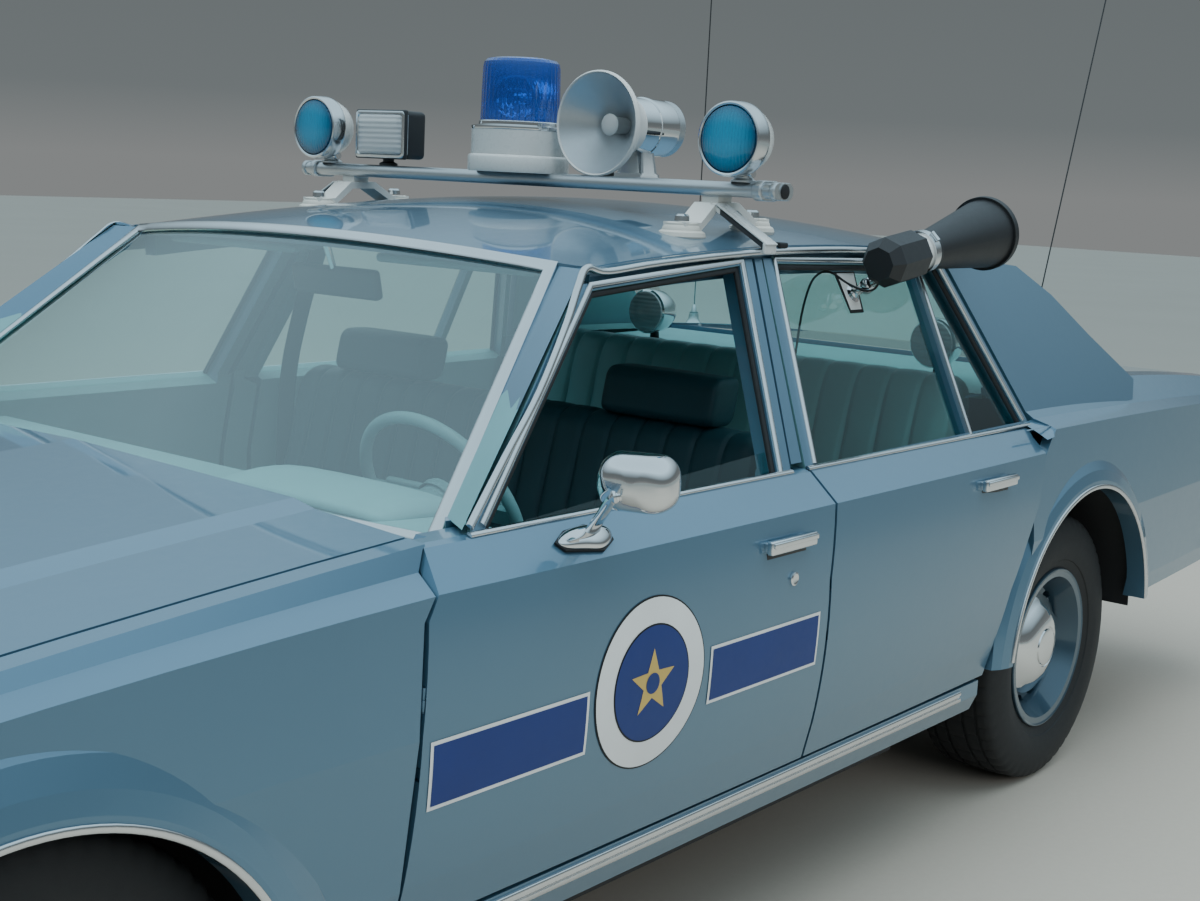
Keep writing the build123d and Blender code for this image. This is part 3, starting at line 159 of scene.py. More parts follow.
def glassFinish(name, tint, strength):
    # a thin tinted pane, clear straight through and bright where it reflects; back faces stay clear
    f = Finish(name, Metallic=1, Roughness=glassLook["roughness"], Base_Color=colours["glassEdge"])
    hazy = f.blend(f.noise(glassLook["haze"], 4), tint, [c * glassLook["hazeDark"] for c in tint])
    clear = f.node("ShaderNodeBsdfTransparent", {}, {"Color": hazy})
    edge = f.node("ShaderNodeLayerWeight", {}, {"Blend": 0.5}, "Facing")
    edge = f.maths("POWER", edge, glassLook["edgePower"])
    outer = 1 - f.node("ShaderNodeNewGeometry", output="Backfacing")
    share = (edge * (1 - strength) + strength) * outer
    mix = f.node("ShaderNodeMixShader", {}, {0: share, 1: clear, 2: Value(f, f.shader.outputs[0])})
    f.tree.links.new(mix.socket, f.tree.nodes["Material Output"].inputs["Surface"])
    return f


def lensFinish(name, tone, through, ribs=None, rough=0.06, paintedHighlight=False):
    f = Finish(name, Base_Color=tone, Roughness=rough, Transmission_Weight=through, IOR=1.45)
    f.feed(Coat_Weight=1, Coat_Roughness=0.02)
    if ribs:
        axis, pitch = ribs
        bands = {"wave_type": "BANDS", "bands_direction": axis}
        # a band texture of scale 1 repeats every 0.314 m
        inputs = {"Vector": f.place(), "Scale": 0.314 / pitch, "Distortion": 0}
        band = f.node("ShaderNodeTexWave", bands, inputs)
        f.bump(band, 0.5, 0.002)
    if paintedHighlight:
        # painted highlight: brightest at the middle of either roof lamp lens, with painted shade darker towards
        # the rim
        p = f.split(f.place())
        across, rise = f.maths("ABSOLUTE", p[1]) - paintedLensHighlight["y"], p[2] - paintedLensHighlight["z"]
        out = f.maths("SQRT", across * across + rise * rise) / paintedLensHighlight["radius"]
        f.feed(Base_Color=f.blend(out * out * out, tone, colours["lensRimPaintedShade"]))
    return f


def trimmedFinish(name, tone, shade, lining):
    # paint outside, lining on the faces that look inwards
    f = paintFinish(name, tone, shade)
    paint, shine = (Value(f, f.shader.inputs[key].links[0].from_socket) for key in ("Base Color", "Roughness"))
    n, p = f.split(f.node("ShaderNodeNewGeometry", output="Normal")), f.split(f.place())
    inward = f.maths("GREATER_THAN", f.maths("SIGN", p[1]) * n[1] * -1, linedRegion["inward"])
    jamb = f.maths("LESS_THAN", f.maths("ABSOLUTE", p[1]), linedRegion["jambY"])
    jamb = jamb * f.maths("LESS_THAN", p[2], linedRegion["beltZ"])
    jamb = jamb * f.maths("COMPARE", p[0], *linedRegion["cabinX"])
    ceiling = f.maths("LESS_THAN", n[2], linedRegion["down"])
    ceiling = ceiling * f.maths("GREATER_THAN", p[2], linedRegion["roofZ"])
    inside = f.maths("MAXIMUM", f.maths("MAXIMUM", inward, jamb), ceiling)
    inside = inside * f.maths("GREATER_THAN", p[0], linedRegion["trunkX"])
    f.feed(Base_Color=f.blend(inside, paint, f.mottle(lining)))
    f.feed(Roughness=shine * (1 - inside) + inside * linedRegion["roughness"])
    return f.feed(Metallic=paintLook["metallic"] * (1 - inside), Coat_Weight=1 - inside)


def barFinish(name):
    # aluminium tube above, white painted brackets and pale feet below, dark straps at the gutters
    f = Finish(name)
    p = f.split(f.place())
    tube = f.maths("GREATER_THAN", p[2], barRegion["tubeZ"])
    grain = f.noise(160, 4, 0.6, f.place((1, 0.05, 1)))
    strap = f.maths("GREATER_THAN", f.maths("ABSOLUTE", p[1]), barRegion["strapY"]) * (1 - tube)
    strap = strap * f.maths("COMPARE", p[0], *barRegion["strapX"])
    pale = f.blend(tube, colours["bracket"], colours["barTube"])
    f.feed(Metallic=tube, Base_Color=f.blend(strap, pale, colours["strap"]), Roughness=0.3 + grain * 0.2)
    return f.bump(grain, 0.06, 0.0004)


# every finish, by its maker: material name, the slot it belongs to, then what the maker takes
finishRows = {
    barFinish: {
        "barMix": ("barMix", "aluminium"),
    },
    trimmedFinish: {
        # the lining tone is the teal vinyl lightened as painted light
        "trimmedPaint": ("trimmedPaint", "paint", colours["paint"], colours["paintShade"],
            colours["paintedLitVinyl"]),
    },
    paintFinish: {
        "paint": ("bodyPaint", "paint", colours["paint"], colours["paintShade"]),
        # the rims wear the body paint darkened as painted shade
        "wheelPaint": ("wheelPaint", "paint", colours["wheel"], colours["wheelShade"]),
    },
    metalFinish: {
        "chrome": ("chrome", "chrome", (0.86, 0.87, 0.88), 0.03, 0.05),
        "bright": ("brightTrim", "chrome", (0.78, 0.79, 0.8), 0.12, 0.12),
        "aluminium": ("satinAluminium", "aluminium", (0.66, 0.67, 0.68), 0.3, 0.22, (1, 0.05, 1)),
        "steel": ("dullSteel", "steel", (0.34, 0.33, 0.31), 0.42, 0.25),
    },
    plasticFinish: {
        "castMetal": ("castWhiteMetal", "aluminium", (0.62, 0.63, 0.62), 0.32, 500, 0.08, 0.3),
        # the horn's throat: its grey metal darkened almost to black as painted shade in the hollow
        "hornInside": ("hornInside", "aluminium", (0.05, 0.056, 0.058), 0.42, 700, 0.1),
        "white": ("whiteEnamel", "white", (0.6, 0.62, 0.61), 0.22, 300, 0.05, 0.6),
        "cream": ("creamRubber", "white", (0.56, 0.55, 0.5), 0.5, 500, 0.2),
        # one teal vinyl twice: the first darkened as painted shade, the second lightened as painted light
        "vinyl": ("darkVinyl", "vinyl", colours["vinyl"], 0.42, 700, 0.35),
        "paintedLitVinyl": ("lightVinyl", "vinyl", colours["paintedLitVinyl"], 0.4, 700, 0.3),
        "dash": ("dashPad", "dash", colours["dash"], 0.5, 600, 0.35),
        "carpet": ("carpet", "trim_cloth", colours["carpet"], 0.95, 1500, 0.9),
        "rubber": ("blackRubber", "black_plastic", (0.012, 0.012, 0.013), 0.55, 500, 0.2),
        "tyre": ("tyreRubber", "tyre", (0.017, 0.017, 0.018), 0.62, 420, 0.35),
        "blackPlastic": ("blackPlastic", "black_plastic", (0.018, 0.019, 0.021), 0.42, 800, 0.35),
        "blackMetal": ("chassisBlack", "black_metal", (0.022, 0.022, 0.024), 0.6, 260, 0.3),
        "cast": ("castIron", "engine", (0.1, 0.1, 0.105), 0.7, 240, 0.5),
        "signBlue": ("signBlue", "white", colours["signBlue"], 0.36, 200, 0.02, 0),
        "signWhite": ("signWhite", "white", colours["signWhite"], 0.3, 200, 0.02, 0.4),
        "gold": ("signGold", "white", colours["gold"], 0.35, 200, 0.02, 0.3),
    },
    glassFinish: {
        "glass": ("tintedGlass", "glass", (0.84, 0.95, 0.93), 0.06),
        "shieldGlass": ("windshieldGlass", "glass", (0.88, 0.96, 0.95), 0.19),
    },
    lensFinish: {
        "clearGlass": ("clearLens", "lamp_glass", (0.8, 0.84, 0.86), 0.55, ("Z", 0.012)),
        # the blue lens wears a painted highlight at its middle, shading darker to its rim
        "blueLens": ("blueLens", "blue_lens", (0.006, 0.3, 0.5), 0.15, ("Y", 0.0075), 0.1, True),
        "dome": ("blueDome", "blue_dome", (0.005, 0.085, 0.46), 0.62, None, 0.05),
        "redLens": ("redLens", "red_lens", (0.3, 0.005, 0.007), 0.15, ("Y", 0.01)),
        "amberLens": ("amberLens", "red_lens", (0.7, 0.22, 0.02), 0.15, ("Y", 0.01)),
    },
}
finishes, finishSlot = {}, {}
for make, rows in finishRows.items():
    for key, (name, slot, *look) in rows.items():
        finishes[key], finishSlot[key] = make(name, *look), slot
# the solids' slots and the finish that each one wears
slotFinish = {
    "paint": "paint", "chrome": "chrome", "glass": "glass", "vinyl": "vinyl", "dash": "dash", "tyre": "tyre",
    "engine": "cast", "steel": "steel", "aluminium": "aluminium", "white": "white", "blue_dome": "dome",
    "blue_lens": "blueLens", "lamp_glass": "clearGlass", "red_lens": "redLens", "black_metal": "blackMetal",
    "black_plastic": "blackPlastic", "trim_cloth": "carpet",
}


def refinish(key, *names):
    for name in names:
        for slot in nodes[name].material_slots:
            slot.material = finishes[key].material


for solid in nodes.values():
    for slot in solid.material_slots:
        key = slotFinish.get(slot.material.name.split(".")[0] if slot.material else "", "paint")
        slot.link = "OBJECT"
        slot.material = finishes[key].material
ends = ("front", "rear")
corners = [f"{end}_{hand}" for end in ends for hand in ("left", "right")]
refinish("shieldGlass", "body_glass")
refinish("carpet", "floor_pan")
# the rear seat, shelf and steering wheel take the vinyl lightened as painted light
refinish("paintedLitVinyl", "rear_seat", "package_shelf", "steering_wheel")
refinish("barMix", "light_bar")
refinish("trimmedPaint", "roof_panel", "windshield_pillars", "centre_pillars", "hinge_pillars",
    "quarter_panels")
refinish("trimmedPaint", *(f"door_{corner}" for corner in corners))
refinish("wheelPaint", *(f"rim_{corner}" for corner in corners))
print("finishes made:", len(finishes))

# ---- mesh helpers
placed = {}


def link(name, data, body=None, slot=None):
    made = bpy.data.objects.new(name, data)
    bpy.context.scene.collection.objects.link(made)
    if body:
        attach(made, body)
        placed[name] = body, slot
    return made


def piece(name, bm, key, body="body_shell", smooth=35, subdivide=0):
    mesh = bpy.data.meshes.new(name)
    bm.to_mesh(mesh)
    bm.free()
    mesh.shade_smooth()
    mesh.set_sharp_from_angle(angle=radians(smooth))
    mesh.materials.append(finishes[key].material)
    made = link(name, mesh, body, finishSlot[key])
    if subdivide:
        smoother = made.modifiers.new("smoother", "SUBSURF")
        smoother.levels = smoother.render_levels = subdivide
    return made


def toRight(name):
    return name.replace("left", "right").replace("Left", "Right")


def otherSide(source, name=None):
    # the same piece on the right-hand side
    name = name or toRight(source.name)
    mesh = source.data.copy()
    mesh.name = name
    mesh.transform(Matrix.Scale(-1, 4, (0, 1, 0)))
    mesh.flip_normals()
    body, slot = placed[source.name]
    return link(name, mesh, toRight(body), slot)


def polygonFace(bm, points):
    return bm.faces.new([bm.verts.new(p) for p in points])


def setNormals(bm):
    bmesh.ops.recalc_face_normals(bm, faces=bm.faces[:])


def grownVerts(grown):
    return [g for g in grown["geom"] if isinstance(g, bmesh.types.BMVert)]


def turned(name, rows, centre, axis, key, steps=48, body="body_shell"):
    # spins a line of (along, radius) rows in millimetres about an axis through centre
    bm = bmesh.new()
    axis = Vector(axis).normalized()
    side = axis.orthogonal().normalized()
    places = [Vector(centre) + axis * (along / 1000) + side * (radius / 1000) for along, radius in rows]
    line = [bm.verts.new(p) for p in places]
    edges = [bm.edges.new(pair) for pair in zip(line, line[1:])]
    bmesh.ops.spin(bm, geom=line + edges, cent=centre, axis=axis, angle=2 * pi, steps=steps, use_merge=True)
    bmesh.ops.remove_doubles(bm, verts=bm.verts[:], dist=1e-5)
    setNormals(bm)
    return piece(name, bm, key, body)


def sweepInto(bm, points, section, normals):
    # pushes a small section (across, out) along points; out follows the given normals
    points = [Vector(p) for p in points]
    ways = [(b - a).normalized() for a, b in zip(points, points[1:])]
    frames = []
    for p, behind, ahead in zip(points, [ways[0], *ways], [*ways, ways[-1]]):
        tangent = (ahead + behind).normalized()
        out = Vector(normals(p) if callable(normals) else normals).normalized()
        across = tangent.cross(out).normalized()
        out = across.cross(tangent).normalized()
        stretch = 1 / max(0.35, sqrt((1 + ahead.dot(behind)) / 2))
        turn = Matrix((across * stretch, out, tangent)).transposed().to_4x4()
        turn.translation = p
        frames.append(turn)
    first = face = polygonFace(bm, [frames[0] @ Vector((a, b, 0)) for a, b in section])
    for last, turn in zip(frames, frames[1:]):
        grown = bmesh.ops.extrude_face_region(bm, geom=[face])
        bmesh.ops.transform(bm, matrix=turn @ last.inverted(), verts=grownVerts(grown))
        old = face
        face = next(g for g in grown["geom"] if isinstance(g, bmesh.types.BMFace))
        if old.is_valid and old is not first:
            bm.faces.remove(old)
    bmesh.ops.remove_doubles(bm, verts=bm.verts[:], dist=1e-6)
    setNormals(bm)


def stripSection(width, height):
    w, h = width / 2, height
    return [(-w, 0), (-w, h * 0.55), (-w * 0.7, h * 0.9), (0, h), (w * 0.7, h * 0.9), (w, h * 0.55), (w, 0)]


def strip(name, points, size, normals, key="bright", body="body_shell", section=None):
    bm = bmesh.new()
    sweepInto(bm, points, section or stripSection(*size), normals)
    return piece(name, bm, key, body, smooth=50)


def curveStep(p0, p1, p2, p3, t):
    # a point between p1 and p2 on the smooth curve through all four
    square, cube = 2 * p0 - 5 * p1 + 4 * p2 - p3, 3 * p1 - p0 - 3 * p2 + p3
    return 0.5 * (2 * p1 + (p2 - p0) * t + square * t ** 2 + cube * t ** 3)


def arcPoints(points, perSpan=6):
    points = [Vector(p) for p in points]
    reach = [points[0], *points, points[-1]]
    spans = zip(reach, reach[1:], reach[2:], reach[3:])
    return [curveStep(*span, k / perSpan) for span in spans for k in range(perSpan)] + [points[-1]]


def smoothClosed(points, steps):
    # a closed curve through the points
    count = len(points)
    spans = [[Vector(points[(i + k) % count]) for k in (-1, 0, 1, 2)] for i in range(count)]
    return [curveStep(*span, k / steps) for span in spans for k in range(steps)]


def slab(name, key, depth, *outlines, body="body_shell"):
    # a face through each outline, pushed by depth
    bm = bmesh.new()
    for outline in outlines:
        grown = bmesh.ops.extrude_face_region(bm, geom=[polygonFace(bm, outline)])
        bmesh.ops.translate(bm, vec=depth, verts=grownVerts(grown))
    setNormals(bm)
    return piece(name, bm, key, body)


def brick(bm, centre, size, bevel, turn=None, segments=3):
    verts = bmesh.ops.create_cube(bm, size=1)["verts"]
    bmesh.ops.scale(bm, vec=size, verts=verts)
    edges = list({e for v in verts for e in v.link_edges})
    soft = bmesh.ops.bevel(
        bm, geom=edges, offset=bevel, segments=segments, profile=0.5, affect="EDGES", material=-1)
    verts = list({v for f in soft["faces"] for v in f.verts} | {v for v in verts if v.is_valid})
    spot = Matrix.Translation(centre)
    bmesh.ops.transform(bm, matrix=spot @ turn.to_4x4() if turn else spot, verts=verts)


def bricks(name, key, rows, body="body_shell"):
    # each row: centre, size, bevel, then the turn and the segments where they matter
    bm = bmesh.new()
    for row in rows:
        brick(bm, *row)
    return piece(name, bm, key, body)


def tilt(angle, axis="Y"):
    return Matrix.Rotation(radians(angle), 3, axis)


def skin(bm, rows, caps=2):
    # quads between rings of points; caps: 0 open, 1 the last ring filled, 2 both
    lines = [[bm.verts.new(p) for p in row] for row in rows]
    count = len(lines[0])
    for a, b in zip(lines, lines[1:]):
        for i in range(count):
            j = (i + 1) % count
            bm.faces.new((a[i], a[j], b[j], b[i]))
    for line in (lines[0], lines[-1])[2 - caps:]:
        bm.faces.new(line)
    return lines


def loft(name, key, rows, caps=2, body="body_shell", **settings):
    bm = bmesh.new()
    skin(bm, rows, caps)
    setNormals(bm)
    return piece(name, bm, key, body, **settings)


def ring(centre, axis, along, radius, turns):
    # points of a circle about an axis, its radius given as a function of the angle
    axis = Vector(axis).normalized()
    side = axis.orthogonal().normalized()
    other = axis.cross(side)
    angles = [2 * pi * i / turns for i in range(turns)]
    return [Vector(centre) + axis * along + (side * cos(a) + other * sin(a)) * radius(a) for a in angles]


def roundedOutline(width, height, corner, steps=6):
    outline = []
    for cx, cy, start in ((1, 1, 0), (-1, 1, 90), (-1, -1, 180), (1, -1, 270)):
        for k in range(steps + 1):
            a = radians(start + 90 * k / steps)
            outline.append((cx * (width / 2 - corner) + corner * cos(a),
                cy * (height / 2 - corner) + corner * sin(a)))
    return outline


# ---- body shape, as the solids have it
side = {
    "barrelX": 0.15, "barrelRadius": 80, "belt": (0.868, 0.948), "ledge": (0.882, 0.944),
    "crease": (0.949, 0.893), "belly": (0.965, 0.69), "low": (0.944, 0.463), "foot": (0.927, 0.388),
}
wallLean = 0.4738
wallOut = Vector((0, 1, wallLean)).normalized()


def circleThrough(a, b, c):
    # centre and radius of the circle through three points of a plane
    (ax, ay), (bx, by), (cx, cy) = a, b, c
    a2, b2, c2 = (x * x + y * y for x, y in (a, b, c))
    d = 2 * (ax * (by - cy) + bx * (cy - ay) + cx * (ay - by))
    ux = (a2 * (by - cy) + b2 * (cy - ay) + c2 * (ay - by)) / d
    uy = (a2 * (cx - bx) + b2 * (ax - cx) + c2 * (bx - ax)) / d
    return ux, uy, sqrt((ax - ux) ** 2 + (ay - uy) ** 2)


bellyCircle = circleThrough(side["crease"], side["belly"], side["low"])


def between(upper, lower, z):
    (y0, z0), (y1, z1) = side[upper], side[lower]
    return y0 + (y1 - y0) * (z - z0) / (z1 - z0)


def sideY(x, z):
    inset = (x - side["barrelX"]) ** 2 / (2 * side["barrelRadius"])
    if z > side["crease"][1]:
        y = between("crease", "ledge", z)
    elif z > side["low"][1]:
        cy, cz, r = bellyCircle
        y = cy + sqrt(r * r - (z - cz) ** 2)
    else:
        y = between("low", "foot", z)
    return y - inset


def wallPoint(x, z, lift=0):
    return Vector((x, side["belt"][0] - (z - side["belt"][1]) * wallLean, z)) + wallOut * lift


def alongLine(x0, x1, y, z, steps):
    return [(x0 + (x1 - x0) * i / steps, y, z) for i in range(steps + 1)]


# ---- camera, floor and light
camera = {
    "place": (2.67324, 2.53674, 1.48782), "yaw": -141.2135, "pitch": -9.4164, "roll": 2.735, "lens": 49.668,
    "width": 36,
}


def makeCamera():
    yaw, pitch, roll = (radians(camera[k]) for k in ("yaw", "pitch", "roll"))
    ahead = Vector((cos(yaw) * cos(pitch), sin(yaw) * cos(pitch), sin(pitch)))
    right = ahead.cross(Vector((0, 0, 1))).normalized()
    up = right.cross(ahead)
    right, up = cos(roll) * right + sin(roll) * up, -sin(roll) * right + cos(roll) * up
    data = bpy.data.cameras.new("photoCamera")
    data.lens, data.sensor_width, data.sensor_fit = camera["lens"], camera["width"], "HORIZONTAL"
    data.clip_end = 200
    made = link("photoCamera", data)
    made.matrix_world = Matrix.Translation(camera["place"]) @ Matrix((right, up, -ahead)).transposed().to_4x4()
    bpy.context.scene.camera = made


lights = {
    # place, height aimed at, size, power, tone
    "overhead": ((0.5, 0.5, 6.5), 0.6, (9, 6), 500, (0.86, 0.99, 1.04)),
    "leftWall": ((1.5, 8, 3.6), 0.7, (7, 2.4), 150, (0.97, 0.99, 1)),
    "rearWall": ((-7.5, 0.5, 3.4), 1, (6, 2.2), 60, (1, 0.99, 0.96)),
}
# how bright the surroundings are from straight below to straight above
sky = {
    "strength": 0.95,
    "stops": [
        (0, (0.24, 0.25, 0.25)), (0.04, (0.165, 0.185, 0.19)), (0.18, (0.14, 0.16, 0.165)),
        (0.36, (0.4, 0.54, 0.62)), (0.6, (0.76, 1.06, 1.24)), (1, (0.72, 1, 1.18)),
    ],
}
concrete = {"size": 45, "dark": (0.4, 0.348, 0.29), "pale": (0.5, 0.438, 0.37)}


def makeLights():
    for name, (place, aimZ, size, power, tone) in lights.items():
        data = bpy.data.lights.new(name, "AREA")
        data.shape, data.size, data.size_y = "RECTANGLE", *size
        data.energy, data.color = power, tone
        lamp = link(name, data)
        lamp.location = place
        lamp.visible_glossy = False
        lamp.rotation_euler = (Vector((0, 0, aimZ)) - Vector(place)).to_track_quat("-Z", "Y").to_euler()
    world = bpy.data.worlds.new("studio")
    bpy.context.scene.world = world
    world.use_nodes = True
    tree = world.node_tree
    where = tree.nodes.new("ShaderNodeTexCoord")
    split = tree.nodes.new("ShaderNodeSeparateXYZ")
    ramp = tree.nodes.new("ShaderNodeValToRGB")
    tree.links.new(where.outputs["Generated"], split.inputs[0])
    tree.links.new(split.outputs["Z"], ramp.inputs[0])
    while len(ramp.color_ramp.elements) < len(sky["stops"]):
        ramp.color_ramp.elements.new(1)
    for stop, (place, tone) in zip(ramp.color_ramp.elements, sky["stops"]):
        stop.position, stop.color = place, (*tone, 1)
    back = tree.nodes["Background"]
    tree.links.new(ramp.outputs[0], back.inputs["Color"])
    back.inputs["Strength"].default_value = sky["strength"]


def makeFloor():
    bm = bmesh.new()
    bmesh.ops.create_grid(bm, x_segments=1, y_segments=1, size=concrete["size"])
    mesh = bpy.data.meshes.new("floor")
    bm.to_mesh(mesh)
    bm.free()
    f = Finish("paleConcrete", Roughness=0.75)
    grit = f.noise(55, 5, 0.7)
    patch = f.noise(0.5, 4)
    f.feed(Base_Color=f.blend(grit * 0.5 + patch * 0.5, concrete["dark"], concrete["pale"]))
    f.bump(grit, 0.15, 0.003)
    mesh.materials.append(f.material)
    link("floor", mesh)


makeCamera()
makeLights()
makeFloor()
print("camera, light and floor ready")

# ---- windshield and roof trims
shieldTrim = {
    "size": (0.024, 0.007), "lift": 0.003, "baseSize": (0.018, 0.006),
    "out": Vector((0.684, 0, 0.729)), "bow": 0.18,
    "corner": Vector((0.894, 0.788, 0.923)), "top": Vector((0.432, 0.606, 1.321)),
}
dripRail = {
    "size": (0.013, 0.008), "lift": 0.003, "inset": 0.689, "below": 0.0105, "leanTo": 0.4,
    "line": [(0.9, 0.957), (0.78, 1.046), (0.659, 1.134), (0.54, 1.236), (0.478, 1.296), (0.44, 1.326),
        (0.38, 1.334), (0.228, 1.346), (-0.04, 1.356), (-0.299, 1.361), (-0.56, 1.359), (-0.86, 1.346),
        (-1.06, 1.331)],
}


def shieldNormal(p):
    return Vector((shieldTrim["out"].x, p.y * shieldTrim["bow"], shieldTrim["out"].z))


def bowed(x, half, z, bowX, bowZ):
    # a level arc from left to right that bows forwards and up in the middle
    rows = [(y, 1 - (y / half) ** 2) for y in [half - i * half / 10 for i in range(21)]]
    return [Vector((x + bowX * share, y, z + bowZ * share)) for y, share in rows]


def makeShieldTrim():
    upRight = [shieldTrim["corner"].lerp(shieldTrim["top"], t / 8) for t in range(8)]
    left = [Vector((p.x, -p.y, p.z)) for p in reversed(upRight)]
    header = bowed(0.4325, 0.606, 1.321, 0.069, 0.029)
    path = [p + shieldTrim["out"] * shieldTrim["lift"] for p in upRight + header + left]
    strip("windshieldTrim", path, shieldTrim["size"], shieldNormal)
    strip("windshieldBaseTrim", bowed(0.894, 0.788, 0.923, 0.062, 0.006), shieldTrim["baseSize"], shieldNormal)


def roofEdge(x):
    return 1.366 - (x + 0.35) ** 2 / 15


def dripPoint(x, z):
    if x > dripRail["leanTo"]:
        return wallPoint(x, z, dripRail["lift"])
    return x, dripRail["inset"], roofEdge(x) - dripRail["below"]


makeShieldTrim()
path = arcPoints([dripPoint(x, z) for x, z in dripRail["line"]], 5)
otherSide(strip("dripTrimLeft", path, dripRail["size"], wallOut))
print("roof trims made")

# ---- window reveals, seals and belt trims on the doors
openings = {
    "front": [(0.865, 0.951), (0.438, 1.29), (-0.037, 1.327), (0.057, 0.951)],
    "rear": [(-0.082, 0.951), (-0.169, 1.33), (-0.84, 1.318), (-1.006, 0.957)],
}
reveal = {"size": (0.012, 0.006), "outset": 0.008, "sealSize": (0.012, 0.008), "sealInset": 0.004,
    "sealDepth": 0.012}
beltTrim = {"front": (0.905, 0.016), "rear": (-0.04, -1.04), "y": 0.8725, "z": 0.9475, "size": (0.011, 0.005)}


def offsetPath(points, amount):
    # shifts an open path of (x, z) sideways, mitred at its corners
    points = [Vector(p) for p in points]
    ways = [(b - a).normalized() for a, b in zip(points, points[1:])]
    shifted = []
    for p, behind, ahead in zip(points, [ways[0], *ways], [*ways, ways[-1]]):
        mean = (behind + ahead).normalized()
        shifted.append(p + Vector((-mean.y, mean.x)) * amount / max(0.4, mean.dot(behind)))
    return shifted


def makeReveals():
    for end, opening in openings.items():
        door = f"door_{end}_left"
        outer = [wallPoint(x, z) for x, z in offsetPath(opening, -reveal["outset"])]
        otherSide(strip(f"reveal_{end}_left", outer, reveal["size"], wallOut, "bright", door))
        inner = [wallPoint(x, z, -reveal["sealDepth"]) for x, z in offsetPath(opening, reveal["sealInset"])]
        otherSide(strip(f"seal_{end}_left", inner, reveal["sealSize"], wallOut, "rubber", door))
    bar = [wallPoint(-0.741, 0.951, -0.002), wallPoint(-0.747, 1.322, -0.002)]
    otherSide(strip("divisionBarLeft", bar, (0.012, 0.005), wallOut, "bright", "door_rear_left"))
    for end in ends:
        path = alongLine(*beltTrim[end], beltTrim["y"], beltTrim["z"], 12)
        otherSide(strip(f"beltTrim_{end}_left", path, beltTrim["size"], (0, 0.5, 1), "bright",
            f"door_{end}_left"))


makeReveals()
print("window trims made")

# ---- door handles, locks and signs
sides = ((1, "Left"), (-1, "Right"))
upward, leftward, forward = (0, 0, 1), (0, 1, 0), (1, 0, 0)
handle = {"length": 0.152, "height": 0.026, "footInset": 0.012, "front": (0.074, 0.845),
    "rear": (-0.785, 0.858)}
lock = {"x": 0.129, "z": 0.774}
signs = {
    "front": {"x": (0.712, 1.062), "z": (0.58, 0.685)}, "rear": {"x": (0.03, 0.385), "z": (0.59, 0.695)},
    "layers": (("border", 0, "signWhite", 0.0011), ("field", 0.006, "signBlue", 0.0017)),
}
# rings from the outside in: name, radius, corners, finish, height over the skin
seal = {
    "x": 0.551, "z": 0.665, "star": 0.06,
    "rings": (
        ("rim", 0.1475, 72, "rubber", 0.0011), ("ring", 0.1445, 72, "signWhite", 0.0017),
        ("edge", 0.101, 72, "rubber", 0.0022), ("field", 0.098, 72, "signBlue", 0.0027),
        ("disc", 0.018, 32, "signBlue", 0.0037),
    ),
}
# the planes that cut a sign so that it can follow the skin
signCuts = [((0.02 + 0.03 * i, 0, 0), forward) for i in range(38)]
signCuts += [((0, 0, 0.5 + 0.02 * i), upward) for i in range(18)]


def makeHandle(end):
    length, (x0, z) = handle["length"], handle[end]
    name, body, x = f"handle{end.title()}Left", f"door_{end}_left", x0 + length / 2
    y = sideY(x, z)
    foot = length / 2 - handle["footInset"]
    otherSide(bricks(name, "chrome", [
        ((x, y + 0.014, z), (length, 0.014, handle["height"]), 0.004),
        *[((x + way * foot, y + 0.004, z - 0.001), (0.018, 0.016, 0.02), 0.003) for way in (-1, 1)],
        ((x, y + 0.022, z + 0.005), (length * 0.96, 0.006, 0.01), 0.002),
    ], body))
    # a thin black plate under the handle: painted shade in its recess
    recessShadow = (x, y + 0.0012, z - 0.01), (length * 0.86, 0.003, 0.03), 0.001
    otherSide(bricks(name + "Recess", "blackPlastic", [recessShadow], body))


def skinPatch(name, points, key, lift):
    # a flat outline laid on both front doors' skins
    bm = bmesh.new()
    polygonFace(bm, [(x, 0, z) for x, z in points])
    for place, way in signCuts:
        bmesh.ops.bisect_plane(bm, geom=bm.verts[:] + bm.edges[:] + bm.faces[:], plane_co=place, plane_no=way)
    for v in bm.verts:
        v.co.y = sideY(v.co.x, v.co.z) + lift
    setNormals(bm)
    for f in bm.faces:
        if f.normal.y < 0:
            f.normal_flip()
    otherSide(piece(name, bm, key, "door_front_left", smooth=60), name + "_right")


def starOutline(x, z, radius, points=5):
    outline = []
    for i in range(2 * points):
        r, a = radius * (0.42 if i % 2 else 1), pi * i / points
        outline.append((x + r * sin(a), z + r * cos(a)))
    return outline


def makeSigns():
    for end in ends:
        (x0, x1), (z0, z1) = signs[end]["x"], signs[end]["z"]
        for name, b, key, lift in signs["layers"]:
            outline = [(x0 + b, z0 + b), (x1 - b, z0 + b), (x1 - b, z1 - b), (x0 + b, z1 - b)]
            skinPatch(f"sign_{end}_{name}", outline, key, lift)
    x, z = seal["x"], seal["z"]
    for name, radius, count, key, lift in seal["rings"]:
        angles = [2 * pi * i / count for i in range(count)]
        skinPatch("seal_" + name, [(x + radius * cos(a), z + radius * sin(a)) for a in angles], key, lift)
    skinPatch("seal_star", starOutline(x, z, seal["star"]), "gold", 0.0032)


for end in ends:
    makeHandle(end)
lockPlace = (lock["x"], sideY(lock["x"], lock["z"]), lock["z"])
otherSide(turned("lockLeft", [(0, 0), (0, 13), (4, 13), (5.5, 10), (4, 6), (4.5, 0)], lockPlace, leftward,
    "chrome", 24, "door_front_left"))
makeSigns()
print("door fittings made")

